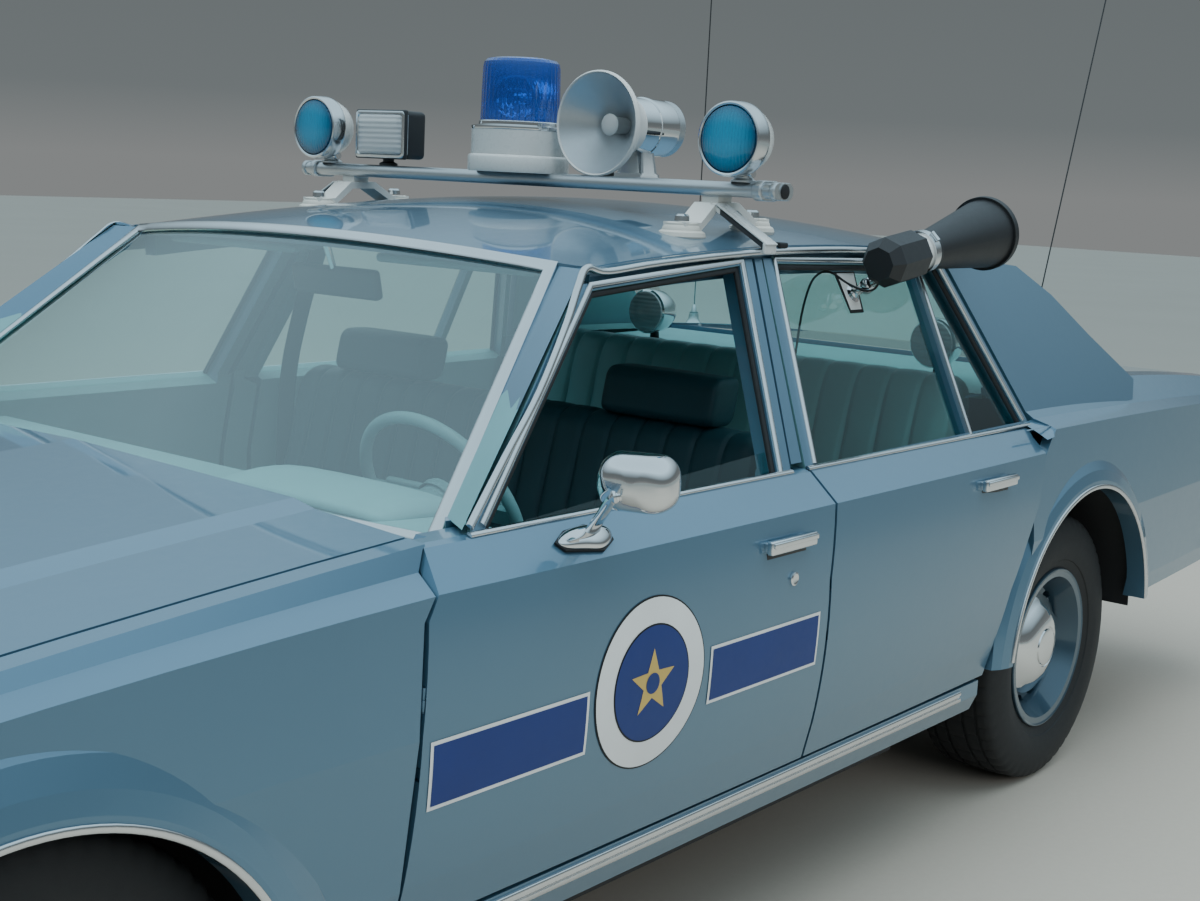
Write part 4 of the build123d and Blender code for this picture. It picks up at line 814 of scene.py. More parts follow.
# ---- roof bar, beacon, horn and lamps
bar = {
    "x": -0.15, "z": 1.473, "top": 1.488, "capY": 0.707, "strapX": -0.123,
    "feet": ((-0.033, 1.398), (-0.281, 1.409)), "footY": 0.545,
}
beacon = {
    "x": -0.141, "radius": 0.0895, "z": (1.488, 1.585, 1.7375), "flutes": 40, "columns": 240,
    "profile": [(0, 1), (0.02, 1.01), (0.04, 1), (0.5, 0.985), (0.86, 0.965), (0.93, 0.94), (0.97, 0.88),
        (0.99, 0.78), (1, 0.6), (1, 0.3)],
}
siren = {
    "x": -0.125, "y": 0.235, "z": 1.598, "footX": -0.275,
    # height, length, width
    "foot": ((0, 0.07, 0.078), (0.006, 0.068, 0.076), (0.01, 0.06, 0.068), (0.05, 0.046, 0.058),
        (0.062, 0.05, 0.06)),
}
lamps = {
    "x": -0.12, "y": 0.617, "z": 1.572, "neckX": -0.136, "pivotDrop": 0.066, "work": (-0.158, -0.43, 1.561),
}


def makeBeacon():
    x, (z0, z1, z2) = beacon["x"], beacon["z"]
    turned("beaconSkirt", [(-2, 100), (-2, 112.5), (4, 114.5), (30, 114.5), (34, 112.5), (36, 109)], (x, 0, z0),
        upward, "white", 96)
    turned("beaconBand", [(88.5, 104), (90.5, 108.5), (94, 109.5), (98.5, 108.5), (100, 100), (101.5, 93),
        (108, 92.5), (110, 90)], (x, 0, z0), upward, "chrome", 96)
    rows = []
    for share, width in beacon["profile"]:
        depth = 0.012 if 0.03 < share < 0.95 else 0.003
        fluted = lambda a: beacon["radius"] * width * (1 - depth * abs(sin(a * beacon["flutes"] / 2)))
        rows.append(ring((x, 0, z1), upward, share * (z2 - z1), fluted, beacon["columns"]))
    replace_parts(loft("beaconDome", "dome", rows, 1, smooth=25), "beacon_dome")
    for n, angle in enumerate((25, 205)):
        way = Vector((cos(radians(angle)), sin(radians(angle)), 0))
        centre = (x + way.x * 0.03, way.y * 0.03, z1 + 0.062)
        turned(f"beaconLamp{n}", [(-45, 6), (-40, 18), (-22, 40), (0, 50), (3, 50), (4, 45), (0, 43), (-20, 30),
            (-36, 0)], centre, way, "chrome", 40)
    turned("beaconTurntable", [(1, 0), (1, 60), (6, 60), (8, 14), (60, 12), (60, 0)], (x, 0, z1), upward,
        "bright", 40)


def makeBarEnds():
    for sign, name in sides:
        bm = bmesh.new()
        for y, width, height, deep in ((0.664, 0.079, 0.041, 0.022), (0.7, 0.074, 0.036, 0.014)):
            outline = roundedOutline(width, height, height * 0.49, 8)
            steps = ((-deep / 2, 0.93), (-deep / 2 + 0.003, 1), (deep / 2 - 0.003, 1), (deep / 2, 0.93))
            rows = []
            for along, grow in steps:
                place = sign * (y + along)
                rows.append([(bar["x"] + a * grow, place, bar["z"] + b * grow) for a, b in outline])
            skin(bm, rows)
        setNormals(bm)
        piece("barEnd" + name, bm, "aluminium", smooth=40)
        turned("barCap" + name, [(0, 0), (0, 15.5), (4, 14.5), (6, 8), (6, 0)],
            (bar["x"], sign * bar["capY"], bar["z"]), (0, sign, 0), "rubber", 24)
        for n, (x, z) in enumerate(bar["feet"]):
            y = sign * bar["footY"]
            turned(f"suctionFoot{name}{n}", [(-30, 47), (-22, 50), (-14, 47), (-10, 40), (-4, 38.5), (0, 34),
                (4, 33.5), (6, 28)], (x, y, z), upward, "cream", 40)
            turned(f"footKnob{name}{n}", [(0, 16), (10, 15), (14, 11), (15, 0)], (x, y, z + 0.008), upward,
                "bright", 24)
        bricks("strapPlate" + name, "white", [
            ((bar["strapX"], sign * 0.6985, 1.3605), (0.042, 0.008, 0.024), 0.003),
            ((bar["strapX"], sign * 0.64, 1.405), (0.04, 0.15, 0.004), 0.0015, tilt(-sign * 30, "X")),
        ])
        bricks("strapPad" + name, "rubber", [((-0.184, sign * 0.68, 1.3655), (0.03, 0.03, 0.012), 0.004)])


def makeSiren():
    # profiles run backwards from the mouth
    for name, key, steps, rows in (
        ("Rim", "castMetal", 96, [(10, 103.5), (0, 106.5), (-3, 109.5), (0, 112.5), (6, 113), (12, 111),
            (14, 108.5)]),
        ("Bell", "castMetal", 96, [(6, 111.2), (14, 109.2), (36, 94.5), (60, 79.2), (84, 68), (110, 59.2),
            (131, 57), (134, 52)]),
        # the lining of the bell wears painted shade
        ("Lining", "hornInside", 96, [(8, 104.2), (20, 97.2), (40, 83.2), (58, 70.8), (80, 61.8), (108, 52),
            (116, 49), (117, 18)]),
        ("Bullet", "castMetal", 48, [(118, 17.5), (60, 17.8), (52, 22), (46, 23.5), (43, 20), (41, 0)]),
        ("Driver", "chrome", 96, [(86, 56), (87, 62.8), (150, 63.2), (151, 65.5), (158, 65.5), (159, 63.2),
            (214, 63.2), (226, 60.5), (236, 52), (241.2, 36), (241.5, 0)]),
    ):
        turned("siren" + name, rows, (siren["x"], siren["y"], siren["z"]), (-1, 0, 0), key, steps)
    rows = []
    for z, along, across in siren["foot"]:
        outline = roundedOutline(along, across, 0.012, 4)
        rows.append([(siren["footX"] + a, siren["y"] + b, bar["top"] + z) for a, b in outline])
    loft("sirenFoot", "castMetal", rows, smooth=40)


def facingX(x, y, z, width, height, corner, steps):
    # a rounded rectangle that faces along x
    return [(x, y + a, z + b) for a, b in roundedOutline(width, height, corner, steps)]


def makeRoofLamps():
    for sign, name in sides:
        y = sign * lamps["y"]
        centre = (lamps["x"], y, lamps["z"])
        turned("lampShell" + name, [(-58.5, 0), (-56.5, 18), (-51.5, 35.2), (-42, 49), (-29, 59.5), (-10, 67.5),
            (8, 72.8)], centre, forward, "white", 72)
        turned("lampRim" + name, [(6, 73.2), (10, 75.2), (18, 75.5), (40, 74.8), (46, 73.8), (47.5, 71),
            (46, 67.5), (40, 66)], centre, forward, "bright", 72)
        lens = turned("lampLens" + name, [(38, 66.5), (43, 66.5), (47.5, 64), (53, 50), (56, 30), (57, 0)],
            centre, forward, "blueLens", 72)
        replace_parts(lens, "lamp_lenses")
        turned("lampNeck" + name, [(0, 26), (4, 26), (8, 18.5), (30, 18.2), (34, 20.5), (40, 20.5)],
            (lamps["neckX"], y, bar["top"]), upward, "aluminium", 36)
        pivot = (lamps["neckX"], y, lamps["z"] - lamps["pivotDrop"])
        turned("lampPivot" + name, [(-24, 0), (-24, 9), (-20, 11), (20, 11), (24, 9), (24, 0)], pivot, leftward,
            "bright", 24)
    x, y, z = lamps["work"]
    bricks("workLampCase", "blackPlastic", [
        ((x - 0.002, y, z), (0.066, 0.169, 0.113), 0.012, None, 4),
        ((x + 0.033, y, z), (0.01, 0.172, 0.116), 0.004),
    ])
    for name, key, corner, steps, smooth, rows in (
        ("Lens", "clearGlass", 0.01, 4, 40, ((0.0388, 0.149, 0.093), (0.04, 0.149, 0.093),
            (0.044, 0.138, 0.082), (0.0455, 0.1, 0.05))),
        ("Frame", "bright", 0.009, 5, 35, ((0.036, 0.166, 0.11), (0.04, 0.166, 0.11), (0.0412, 0.163, 0.107),
            (0.0412, 0.153, 0.097), (0.0392, 0.15, 0.094), (0.0384, 0.149, 0.093))),
    ):
        rows = [facingX(x + along, y, z, width, height, corner, steps) for along, width, height in rows]
        loft("workLamp" + name, key, rows, 1, smooth=smooth)
    turned("workLampStem", [(0, 22), (5, 22), (9, 13.5), (22, 13.5)], (-0.15, y, bar["top"]), upward,
        "blackPlastic", 32)


makeBeacon()
makeBarEnds()
makeSiren()
makeRoofLamps()
print("roof gear made")

# ---- door mirror, radar antenna, cord and whips
mirrorPlace = {
    "centre": Vector((0.68, 1.01, 1.022)), "facing": Vector((0.93, 0.37, 0)).normalized(),
    "shell": (0.13, 0.093), "glass": (0.1205, 0.0835), "swivel": (0.718, 0.996, 1.004),
    "body": "door_front_left",
    # along the facing, size, corner
    "shellRows": ((-0.0205, 0.925, 0.03), (-0.0262, 0.945, 0.031), (-0.0272, 0.985, 0.034), (-0.024, 1, 0.036),
        (-0.006, 1, 0.038), (0.008, 0.96, 0.038), (0.02, 0.88, 0.036), (0.029, 0.74, 0.031),
        (0.0345, 0.54, 0.022), (0.037, 0.3, 0.012), (0.038, 0.08, 0.003)),
    # the stem: place, half width, half depth
    "stem": [((0.667, 0.91, 0.916), 0.024, 0.008), ((0.672, 0.918, 0.929), 0.019, 0.0078),
        ((0.683, 0.936, 0.947), 0.0125, 0.008), ((0.699, 0.964, 0.973), 0.01, 0.0088),
        ((0.711, 0.985, 0.994), 0.0104, 0.0104), ((0.716, 0.995, 1.0025), 0.0112, 0.0112),
        ((0.713, 1.0015, 1.007), 0.0116, 0.0116), ((0.702, 1.007, 1.013), 0.0118, 0.0118)],
    "foot": [(0.752, 0.914), (0.742, 0.9265), (0.7, 0.934), (0.664, 0.938), (0.63, 0.927), (0.622, 0.908),
        (0.668, 0.898), (0.722, 0.901)],
    # height over the ledge, size
    "footRows": ((-0.002, 0.98), (0.003, 1), (0.008, 0.93), (0.0125, 0.74), (0.015, 0.45), (0.0155, 0.12)),
    "gasket": [(0.7565, 0.913), (0.746, 0.929), (0.664, 0.9405), (0.627, 0.928), (0.62, 0.907), (0.668, 0.8955),
        (0.722, 0.899)],
}


def ledgePoint(x, y, lift):
    return Vector((x, y, 0.944 - (y - 0.882) * 0.761 + lift))


def makeMirror():
    centre, facing, body = mirrorPlace["centre"], mirrorPlace["facing"], mirrorPlace["body"]
    across = Vector((-facing.y, facing.x, 0))

    def oval(size, along, grow, corner, steps):
        outline = roundedOutline(size[0] * grow, size[1] * grow, corner, steps)
        return [centre + facing * along + across * a + Vector(upward) * b for a, b in outline]

    bm = bmesh.new()
    skin(bm, [oval(mirrorPlace["shell"], *row, 8) for row in mirrorPlace["shellRows"]], 1)
    stem = mirrorPlace["stem"]
    spots = [Vector(row[0]) for row in stem]
    rows = []
    for before, after, (spot, wide, deep) in zip([spots[0], *spots], [*spots[1:], spots[-1]], stem):
        way = (after - before).normalized()
        first = (Vector(forward) - way * way.x).normalized()
        second = way.cross(first)
        angles = [2 * pi * k / 24 for k in range(24)]
        rows.append([Vector(spot) + first * wide * cos(a) + second * deep * sin(a) for a in angles])
    skin(bm, rows)
    foot = [ledgePoint(x, y, 0.002) for x, y in smoothClosed(mirrorPlace["foot"], 5)]
    middle = sum(foot, Vector()) / len(foot)
    lift = Vector((0, 0.6, 0.8))
    rows = mirrorPlace["footRows"]
    skin(bm, [[middle + (p - middle) * grow + lift * high for p in foot] for high, grow in rows])
    setNormals(bm)
    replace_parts(piece("mirrorShell", bm, "chrome", body, smooth=60, subdivide=1), "mirror_left")
    steps = ((-0.019, 1), (-0.0214, 1), (-0.0216, 0.985))
    rows = [oval(mirrorPlace["glass"], along, grow, 0.03 * grow, 6) for along, grow in steps]
    loft("mirrorGlass", "chrome", rows, 1, body, smooth=30)
    turned("mirrorSwivel", [(-4, 0), (-4, 8.5), (-1, 11.6), (3, 12), (4, 10.8), (7, 10.8), (8, 12), (30, 12.2)],
        mirrorPlace["swivel"], (-0.028, 0.026, 0.009), "chrome", 36, body)
    gasket = [ledgePoint(x, y, 0.001) for x, y in mirrorPlace["gasket"]]
    slab("mirrorGasket", "rubber", Vector((0, 0.002, 0.003)), gasket, body=body)


radar = {
    "tail": Vector((-0.4, 0.79, 1.332)), "mouth": Vector((-0.89, 0.79, 1.4)), "body": "door_rear_left",
    "screw": Vector((0, 0.035, 0.036)), "foot": Vector((-0.45, 0.7, 1.2594)),
    "ball": Vector((-0.45, 0.78, 1.306)),
}


def makeRadar():
    tail, body = radar["tail"], radar["body"]
    way = (radar["mouth"] - tail).normalized()
    for name, key, steps, rows in (
        ("Sleeve", "castMetal", 64, [(136, 42.3), (137, 42.6), (196, 42.6), (198, 41.5)]),
        ("Clamp", "bright", 64, [(165.5, 43), (165.8, 47.8), (188.5, 47.8), (188.8, 43)]),
        ("Rim", "blackPlastic", 72, [(470, 83.8), (470.5, 84.8), (486, 85), (487.2, 83.5), (486.5, 78),
            (480, 76.5)]),
    ):
        turned("radar" + name, rows, tail, way, key, steps, body)
    screw = tail + way * 0.177 + radar["screw"]
    turned("radarClampScrew", [(-12, 0), (-12, 5), (12, 5), (12, 0)], screw, (0, 0.7, -0.7), "bright", 16, body)
    turned("radarBallArm", [(0, 20), (6, 20), (10, 12), (16, 9.5), (30, 9.5), (34, 15), (44, 18), (54, 15),
        (58, 9.5), (70, 9.5)], radar["foot"], radar["ball"] - radar["foot"], "chrome", 40, body)
    for name, key, lift, depth, outline in (
        ("Plate", "castMetal", -0.015, -0.0012, [(-0.4155, 1.3118), (-0.4845, 1.3118), (-0.4695, 1.2362),
            (-0.4255, 1.2362)]),
        ("PlatePad", "rubber", -0.0165, -0.002, [(-0.408, 1.315), (-0.424, 1.23), (-0.478, 1.23),
            (-0.492, 1.315)]),
    ):
        slab("radar" + name, key, wallOut * depth, [wallPoint(x, z, lift) for x, z in outline], body=body)


cordRoute = {
    "radius": 0.0025,
    "points": [
        (-0.44, 0.772, 1.293), (-0.438, 0.766, 1.268), (-0.418, 0.716, 1.28), (-0.4, 0.67, 1.314),
        (-0.378, 0.648, 1.297), (-0.345, 0.654, 1.262),
        (-0.306, 0.668, 1.215), (-0.245, 0.7, 1.15), (-0.17, 0.738, 1.08), (-0.13, 0.786, 1),
        (-0.126, 0.826, 0.945),
    ],
}


def makeCord():
    curve = bpy.data.curves.new("radarCord", "CURVE")
    curve.dimensions, curve.bevel_depth = "3D", cordRoute["radius"]
    curve.bevel_resolution, curve.resolution_u = 4, 12
    spline = curve.splines.new("NURBS")
    spline.points.add(len(cordRoute["points"]) - 1)
    for point, place in zip(spline.points, cordRoute["points"]):
        point.co = (*place, 1)
    spline.order_u, spline.use_endpoint_u = 3, True
    curve.use_fill_caps = True
    curve.materials.append(finishes["rubber"].material)
    made = link("radarCord", curve, radar["body"], finishSlot["rubber"])
    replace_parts(made, "radar_cord")


makeMirror()
makeRadar()
makeCord()
for name, place, key, body in (
    ("Right", (-1.927, -0.778, 1), "bright", "body_shell"),
    ("Rear", (-1.98, 0.42, 0.9986), "rubber", "trunk_lid"),
):
    turned("whipBase" + name, [(-4, 30), (4, 30), (10, 24), (22, 17.5), (40, 16.5), (44, 10), (66, 6), (70, 3)],
        place, upward, key, 40, body)
print("mirror, radar and whips made")

# ---- wheels
wheels = {
    "front": (1.663, 0.785), "rear": (-1.283, 0.772), "z": 0.346, "columns": 216, "grooveDepth": 0.004,
    "cap": [(30, 120), (42, 123.5), (45.5, 129), (48.5, 130), (51.5, 127.5), (56, 118), (64, 108), (76, 93),
        (85, 72), (88, 56), (88.5, 53), (86.5, 51), (86.8, 49), (90.5, 47), (92.5, 40), (93.5, 25), (93.8, 0)],
}
# how often a groove cuts each kind of row, and where the first one is
grooves = {1: (4, 0), 2: (6, 1), 3: (6, 3)}
# across from the middle, radius, kind of row
tyreRows = [
    (-0.0877, 0.192, 0), (-0.0895, 0.206, 0), (-0.1, 0.226, 0), (-0.1005, 0.229, 0), (-0.1035, 0.231, 0),
    (-0.1095, 0.254, 0), (-0.111, 0.272, 0),
    (-0.1085, 0.296, 0), (-0.1035, 0.316, 0), (-0.1, 0.325, 1), (-0.0965, 0.333, 1), (-0.09, 0.3395, 1),
    (-0.08, 0.343, 1), (-0.066, 0.344, 1),
    (-0.065, 0.3385, 0), (-0.057, 0.3385, 0), (-0.056, 0.3446, 2), (-0.03, 0.3452, 2), (-0.029, 0.339, 0),
    (-0.021, 0.339, 0), (-0.02, 0.3456, 3), (0, 0.346, 3),
]
tyreRows = tyreRows + [(-a, r, kind) for a, r, kind in tyreRows[-2::-1]]


def makeTyre(end, hand, sign):
    x, y = wheels[end]
    count = wheels["columns"]
    rows = []
    for across, radius, kind in tyreRows:
        row = []
        for i in range(count):
            a = 2 * pi * i / count
            low = kind and (i + grooves[kind][1]) % grooves[kind][0] == 0
            r = radius - (wheels["grooveDepth"] if low else 0)
            row.append((x + r * cos(a), sign * (y + across), wheels["z"] + r * sin(a)))
        rows.append(row)
    bm = bmesh.new()
    lines = skin(bm, rows, 0)
    first, last = lines[0], lines[-1]
    for i in range(count):
        j = (i + 1) % count
        bm.faces.new((first[j], first[i], last[i], last[j]))
    setNormals(bm)
    made = piece(f"tyre_{end}_{hand}_worn", bm, "tyre", f"wheel_{end}_{hand}", smooth=32)
    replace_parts(made, f"tyre_{end}_{hand}")


def makeWheel(end, hand, sign):
    x, y = wheels[end]
    centre, out, name, body = (x, sign * y, wheels["z"]), (0, sign, 0), f"{end}_{hand}", f"wheel_{end}_{hand}"
    turned("hubcap_" + name, wheels["cap"], centre, out, "chrome", 96, body)
    turned("rimLip_" + name, [(88.5, 206), (90, 206.8), (95.5, 206.8), (97.8, 205.2), (98.2, 203), (96, 198.5)],
        centre, out, "wheelPaint", 96, body)
    valve = (x + 0.172, sign * (y + 0.05), wheels["z"])
    turned("valve_" + name, [(0, 5), (6, 4.8), (10, 3.5), (26, 3.5), (27, 0)], valve, (-0.3, sign, 0), "rubber",
        16, body)
    turned("slotShade_" + name, [(-50, 130), (-46, 171)], centre, out, "blackMetal", 64, body)


for end in ends:
    for sign, hand in sides:
        makeTyre(end, hand.lower(), sign)
        makeWheel(end, hand.lower(), sign)
print("wheels made")

# ---- bright trims along the body
archTrim = {
    "front": {"centre": (1.706, 0.312), "radius": 0.4165, "y": 0.9678, "sweep": (12, 168)},
    "rear": {"centre": (-1.271, 0.372), "radius": 0.4095, "y": 0.9598, "sweep": (5.5, 172)},
    "size": (0.012, 0.0045), "steps": 48,
}
rocker = {"x": (1.205, -0.677), "z": 0.361, "y": 0.9215, "half": 0.013, "height": 0.006}

for end in ends:
    row, steps = archTrim[end], archTrim["steps"]
    (x, z), radius, (start, stop) = row["centre"], row["radius"], row["sweep"]
    angles = [radians(start + (stop - start) * i / steps) for i in range(steps + 1)]
    path = [(x + radius * cos(a), row["y"], z + radius * sin(a)) for a in angles]
    otherSide(strip(f"archTrim_{end}_left", path, archTrim["size"], leftward))
# two ribs with a groove between them
w, h = rocker["half"], rocker["height"]
rib = [(1, 0), (1, h * 0.7), (0.86, h), (0.3, h), (0.22, h * 0.45)]
section = [(-w * a, b) for a, b in rib] + [(w * a, b) for a, b in reversed(rib)]
path = alongLine(*rocker["x"], rocker["y"], rocker["z"], 14)
otherSide(strip("rockerTrimLeft", path, None, leftward, section=section))
print("body trims made")

# ---- front, rear and belt fittings
nose = {
    "face": 2.5882, "grille": ((-0.43, 0.43), (0.652, 0.786)), "lamps": ((0.462, 0.64), (0.664, 0.842)),
    "lampZ": (0.662, 0.776), "fluteX": 2.5786, "bumper": 2.6935,
    # plate: x, z, height, bolts above and below its middle
    "plate": (2.6935, 0.52, 0.104, 0.036),
}
tail = {
    "face": -2.6262, "lamps": ((0.47, 0.59), (0.602, 0.722), (0.734, 0.854)), "lampZ": (0.69, 0.82),
    "fluteX": -2.6265, "bumper": -2.6935, "plate": (-2.63, 0.64, 0.15, 0.0585),
}
windowStrip = ((-0.03, 0.925), (-0.03, 0.964), (0.06, 0.957), (0.2, 0.946), (0.345, 0.93), (0.345, 0.922))
# three points along the door's end, then four along the quarter's
beltCorner = ((-0.999, 0.937, 0.9235), (-1.006, 0.905, 0.9375), (-1.012, 0.866, 0.9525), (-1.037, 0.937, 0.927),
    (-1.052, 0.927, 0.939), (-1.066, 0.9, 0.9505), (-1.068, 0.866, 0.959))
trunkMat = ((-1.69, 0.54), (-1.69, -0.54), (-1.712, -0.545), (-1.716, -0.897), (-2.56, -0.878), (-2.585, -0.85),
    (-2.585, 0.85), (-2.56, 0.878), (-1.716, 0.897), (-1.712, 0.545))


def makeFrame(name, x, ys, zs, width, height, out=1):
    # a raised chrome border around a rectangle that faces along x
    (y0, y1), (z0, z1) = ys, zs
    steps = ((0, 1), (0.7, 1), (1, 0.8), (1, 0.2), (0.6, 0), (0, 0))
    rows = []
    for along, share in steps:
        reach = width * share
        size = y1 - y0 + 2 * reach, z1 - z0 + 2 * reach
        rows.append(facingX(x + out * height * along, (y0 + y1) / 2, (z0 + z1) / 2, *size, 0.004 + reach, 4))
    loft(name, "chrome", rows, 0, smooth=40)


def lampFrames(name, sign, row, x, width, height, out):
    for n, ys in enumerate(row["lamps"]):
        makeFrame(f"{name}{n}", x, sorted(sign * y for y in ys), row["lampZ"], width, height, out)


def makeFlutes(sign, hand):
    rows = []
    for y0, y1 in nose["lamps"]:
        for k in (1, 2, 3):
            rows.append(((nose["fluteX"], sign * (y0 + (y1 - y0) * k / 4), 0.719), (0.003, 0.0016, 0.104),
                0.0005))
        for k in (1, 2):
            z = nose["lampZ"][0] + 0.114 * k / 3
            rows.append(((nose["fluteX"], sign * (y0 + y1) / 2, z), (0.003, 0.168, 0.0014), 0.0005))
    bricks("headLampFlutes" + hand, "clearGlass", rows)
    rows = []
    for y0, y1 in tail["lamps"]:
        for k in range(1, 8):
            z = tail["lampZ"][0] + 0.13 * k / 8
            rows.append(((tail["fluteX"], sign * (y0 + y1) / 2, z), (0.002, 0.112, 0.0015), 0.0005))
    bricks("tailLampFlutes" + hand, "redLens", rows)


def makeFrontAndRear():
    makeFrame("grilleFrame", nose["face"], *nose["grille"], 0.01, 0.006)
    for sign, hand in sides:
        lampFrames("headLampFrame" + hand, sign, nose, nose["face"] - 0.0005, 0.007, 0.006, 1)
        lampFrames("tailLampFrame" + hand, sign, tail, tail["face"] + 0.0005, 0.0055, 0.005, -1)
        makeFlutes(sign, hand)
        turnLamp = (nose["bumper"] + 0.001, sign * 0.62, 0.533), (0.006, 0.15, 0.046), 0.003
        bricks("turnLamp" + hand, "amberLens", [turnLamp])
    for name, row, out in (("Front", nose, 1), ("Rear", tail, -1)):
        bumper = (row["bumper"] + out * 0.0015, 0, 0.5835), (0.007, 1.38, 0.016), 0.003
        bricks("bumperStrip" + name, "rubber", [bumper])
        x, z, height, boltZ = row["plate"]
        bricks("plate" + name, "white", [((x + out * 0.003, 0, z), (0.002, 0.305, height), 0.0008)])
        for n, (y, way) in enumerate(((0.089, 1), (-0.089, 1), (0.089, -1), (-0.089, -1))):
            place = (x + out * 0.004, y, z + way * boltZ)
            turned(f"plate{name}Bolt{n}", [(0, 6), (2, 6), (3, 4), (3, 0)], place, (out, 0, 0), "bright", 16)


def makeBeltCorners():
    # fills the notch between the rear door's upper corner and the quarter
    for sign, hand in sides:
        bm = bmesh.new()
        points = [bm.verts.new((x, sign * y, z)) for x, y, z in beltCorner]
        for face in ((0, 3, 4, 1), (1, 4, 5), (1, 5, 6, 2)):
            bm.faces.new([points[k] for k in face])
        if sign < 0:
            bmesh.ops.reverse_faces(bm, faces=bm.faces[:])
        piece("beltCorner" + hand, bm, "paint")


slab("trunkMat", "carpet", Vector((0, 0, 0.006)), [Vector((x, y, 0.444)) for x, y in trunkMat])
makeFrontAndRear()
# the lowered front glass shows its upper edge above the sill
pane = [wallPoint(x, z, -0.019) for x, z in windowStrip]
slab("windowStripLeft", "shieldGlass", wallOut * -0.004, pane, body="door_front_left")
makeBeltCorners()
print("front and rear fitted")

# ---- seats: pleated pads pushed along their width
# each outline row: x, z, share of the pleats that shows there
seatPads = {
    "frontCushion": {
        "outline": [(0.415, 0.35, 0), (0.434, 0.4, 0), (0.438, 0.47, 0.4), (0.418, 0.525, 0.8),
            (0.37, 0.546, 1), (0.24, 0.54, 1), (0.1, 0.528, 1), (0, 0.52, 1), (-0.1, 0.515, 0.3),
            (-0.16, 0.5, 0), (-0.165, 0.36, 0), (0.12, 0.345, 0)],
        "spans": [(0.018, 0.7), (-0.7, -0.018)], "key": "vinyl", "replaces": "front_seat", "pitch": 0.078,
    },
    "frontBack": {
        "outline": [(-0.014, 0.545, 0.6), (-0.022, 0.61, 1), (-0.05, 0.74, 1), (-0.084, 0.86, 1),
            (-0.102, 0.925, 1), (-0.12, 0.962, 0.8), (-0.152, 0.978, 0.5), (-0.192, 0.974, 0.1),
            (-0.208, 0.945, 0), (-0.2, 0.83, 0), (-0.186, 0.64, 0), (-0.178, 0.44, 0), (-0.11, 0.42, 0)],
        "spans": [(0.018, 0.7), (-0.7, -0.018)], "key": "vinyl", "replaces": "front_seat", "pitch": 0.078,
    },
    "rearCushion": {
        "outline": [(-0.44, 0.352, 0), (-0.408, 0.4, 0), (-0.396, 0.46, 0.3), (-0.404, 0.51, 0.8),
            (-0.445, 0.543, 1), (-0.6, 0.541, 1), (-0.76, 0.53, 1), (-0.84, 0.54, 0.4), (-0.88, 0.56, 0),
            (-0.9, 0.54, 0), (-0.77, 0.53, 0), (-0.692, 0.34, 0), (-0.6, 0.335, 0)],
        "spans": [(-0.69, 0.69)], "key": "paintedLitVinyl", "replaces": "rear_seat", "pitch": 0.092,
    },
    "rearBack": {
        "outline": [(-0.866, 0.575, 0.6), (-0.884, 0.66, 1), (-0.92, 0.8, 1), (-0.956, 0.93, 1),
            (-0.982, 1.005, 1), (-1.008, 1.04, 0.8), (-1.04, 1.046, 0.4), (-1.072, 1.034, 0),
            (-1.098, 0.985, 0), (-1.1, 0.76, 0), (-1.1, 0.545, 0), (-0.92, 0.54, 0)],
        "spans": [(-0.69, 0.69)], "key": "paintedLitVinyl", "replaces": "rear_seat", "pitch": 0.092,
    },
}
pleat = {"depth": 0.011, "half": 0.0075, "crown": 0.006, "endRound": 0.045, "endDrop": 0.02, "columns": 12}
wheelWell = {"centre": Vector((-1.271, 0.372)), "radius": 0.442, "from": 0.535}
headrest = {
    "x": -0.176, "y": 0.43, "z": 1.03, "lean": 0.22, "depth": 0.098, "height": 0.106, "corner": 0.028,
    "rows": ((-0.152, 0.72), (-0.148, 0.9), (-0.134, 0.985), (-0.062, 1), (0.062, 1), (0.134, 0.985),
        (0.148, 0.9), (0.152, 0.72)), "postY": 0.035,
}


def makePad(name, row, y0, y1):
    loop = smoothClosed(row["outline"], 4)
    middle = sum((p.xy for p in loop), Vector((0, 0))) / len(loop)
    count = max(2, round((y1 - y0) / row["pitch"]))
    pitch, columns = (y1 - y0) / count, pleat["columns"] * count
    rows = []
    for c in range(columns + 1):
        y, pleats = y0 + (y1 - y0) * c / columns, c / pleat["columns"]
        fromSeam = abs(pleats - round(pleats)) * pitch
        seam = 0 if c in (0, columns) else pleat["depth"] * max(0, 1 - fromSeam / pleat["half"]) ** 1.5
        sag = pleat["crown"] * (1 - 2 * fromSeam / pitch) ** 2
        end = pleat["endDrop"] * max(0, 1 - min(y - y0, y1 - y) / pleat["endRound"]) ** 2
        line = []
        for p in loop:
            at = p.xy - (p.xy - middle).normalized() * ((sag + seam) * p.z + end)
            gap = at - wheelWell["centre"]
            if abs(y) > wheelWell["from"] and gap.length < wheelWell["radius"]:
                at = wheelWell["centre"] + gap.normalized() * wheelWell["radius"]
            line.append((at.x, y, at.y))
        rows.append(line)
    made = loft(name, row["key"], rows, smooth=60, subdivide=1)
    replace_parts(made, row["replaces"])


def makeHeadrest(name, y):
    rows = []
    for along, grow in headrest["rows"]:
        depth, height = headrest["depth"] * grow, headrest["height"] * (0.5 + grow / 2)
        outline = roundedOutline(depth, height, headrest["corner"] * grow)
        x, z, lean = headrest["x"], headrest["z"], headrest["lean"]
        rows.append([(x + a - b * lean, y + along, z + b) for a, b in outline])
    made = loft(name, "vinyl", rows, smooth=60, subdivide=1)
    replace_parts(made, "front_seat")
    for n, way in enumerate((-1, 1)):
        place = (-0.17, y + way * headrest["postY"], 0.965)
        turned(f"{name}Post{n}", [(-50, 5), (30, 5)], place, upward, "chrome", 16)


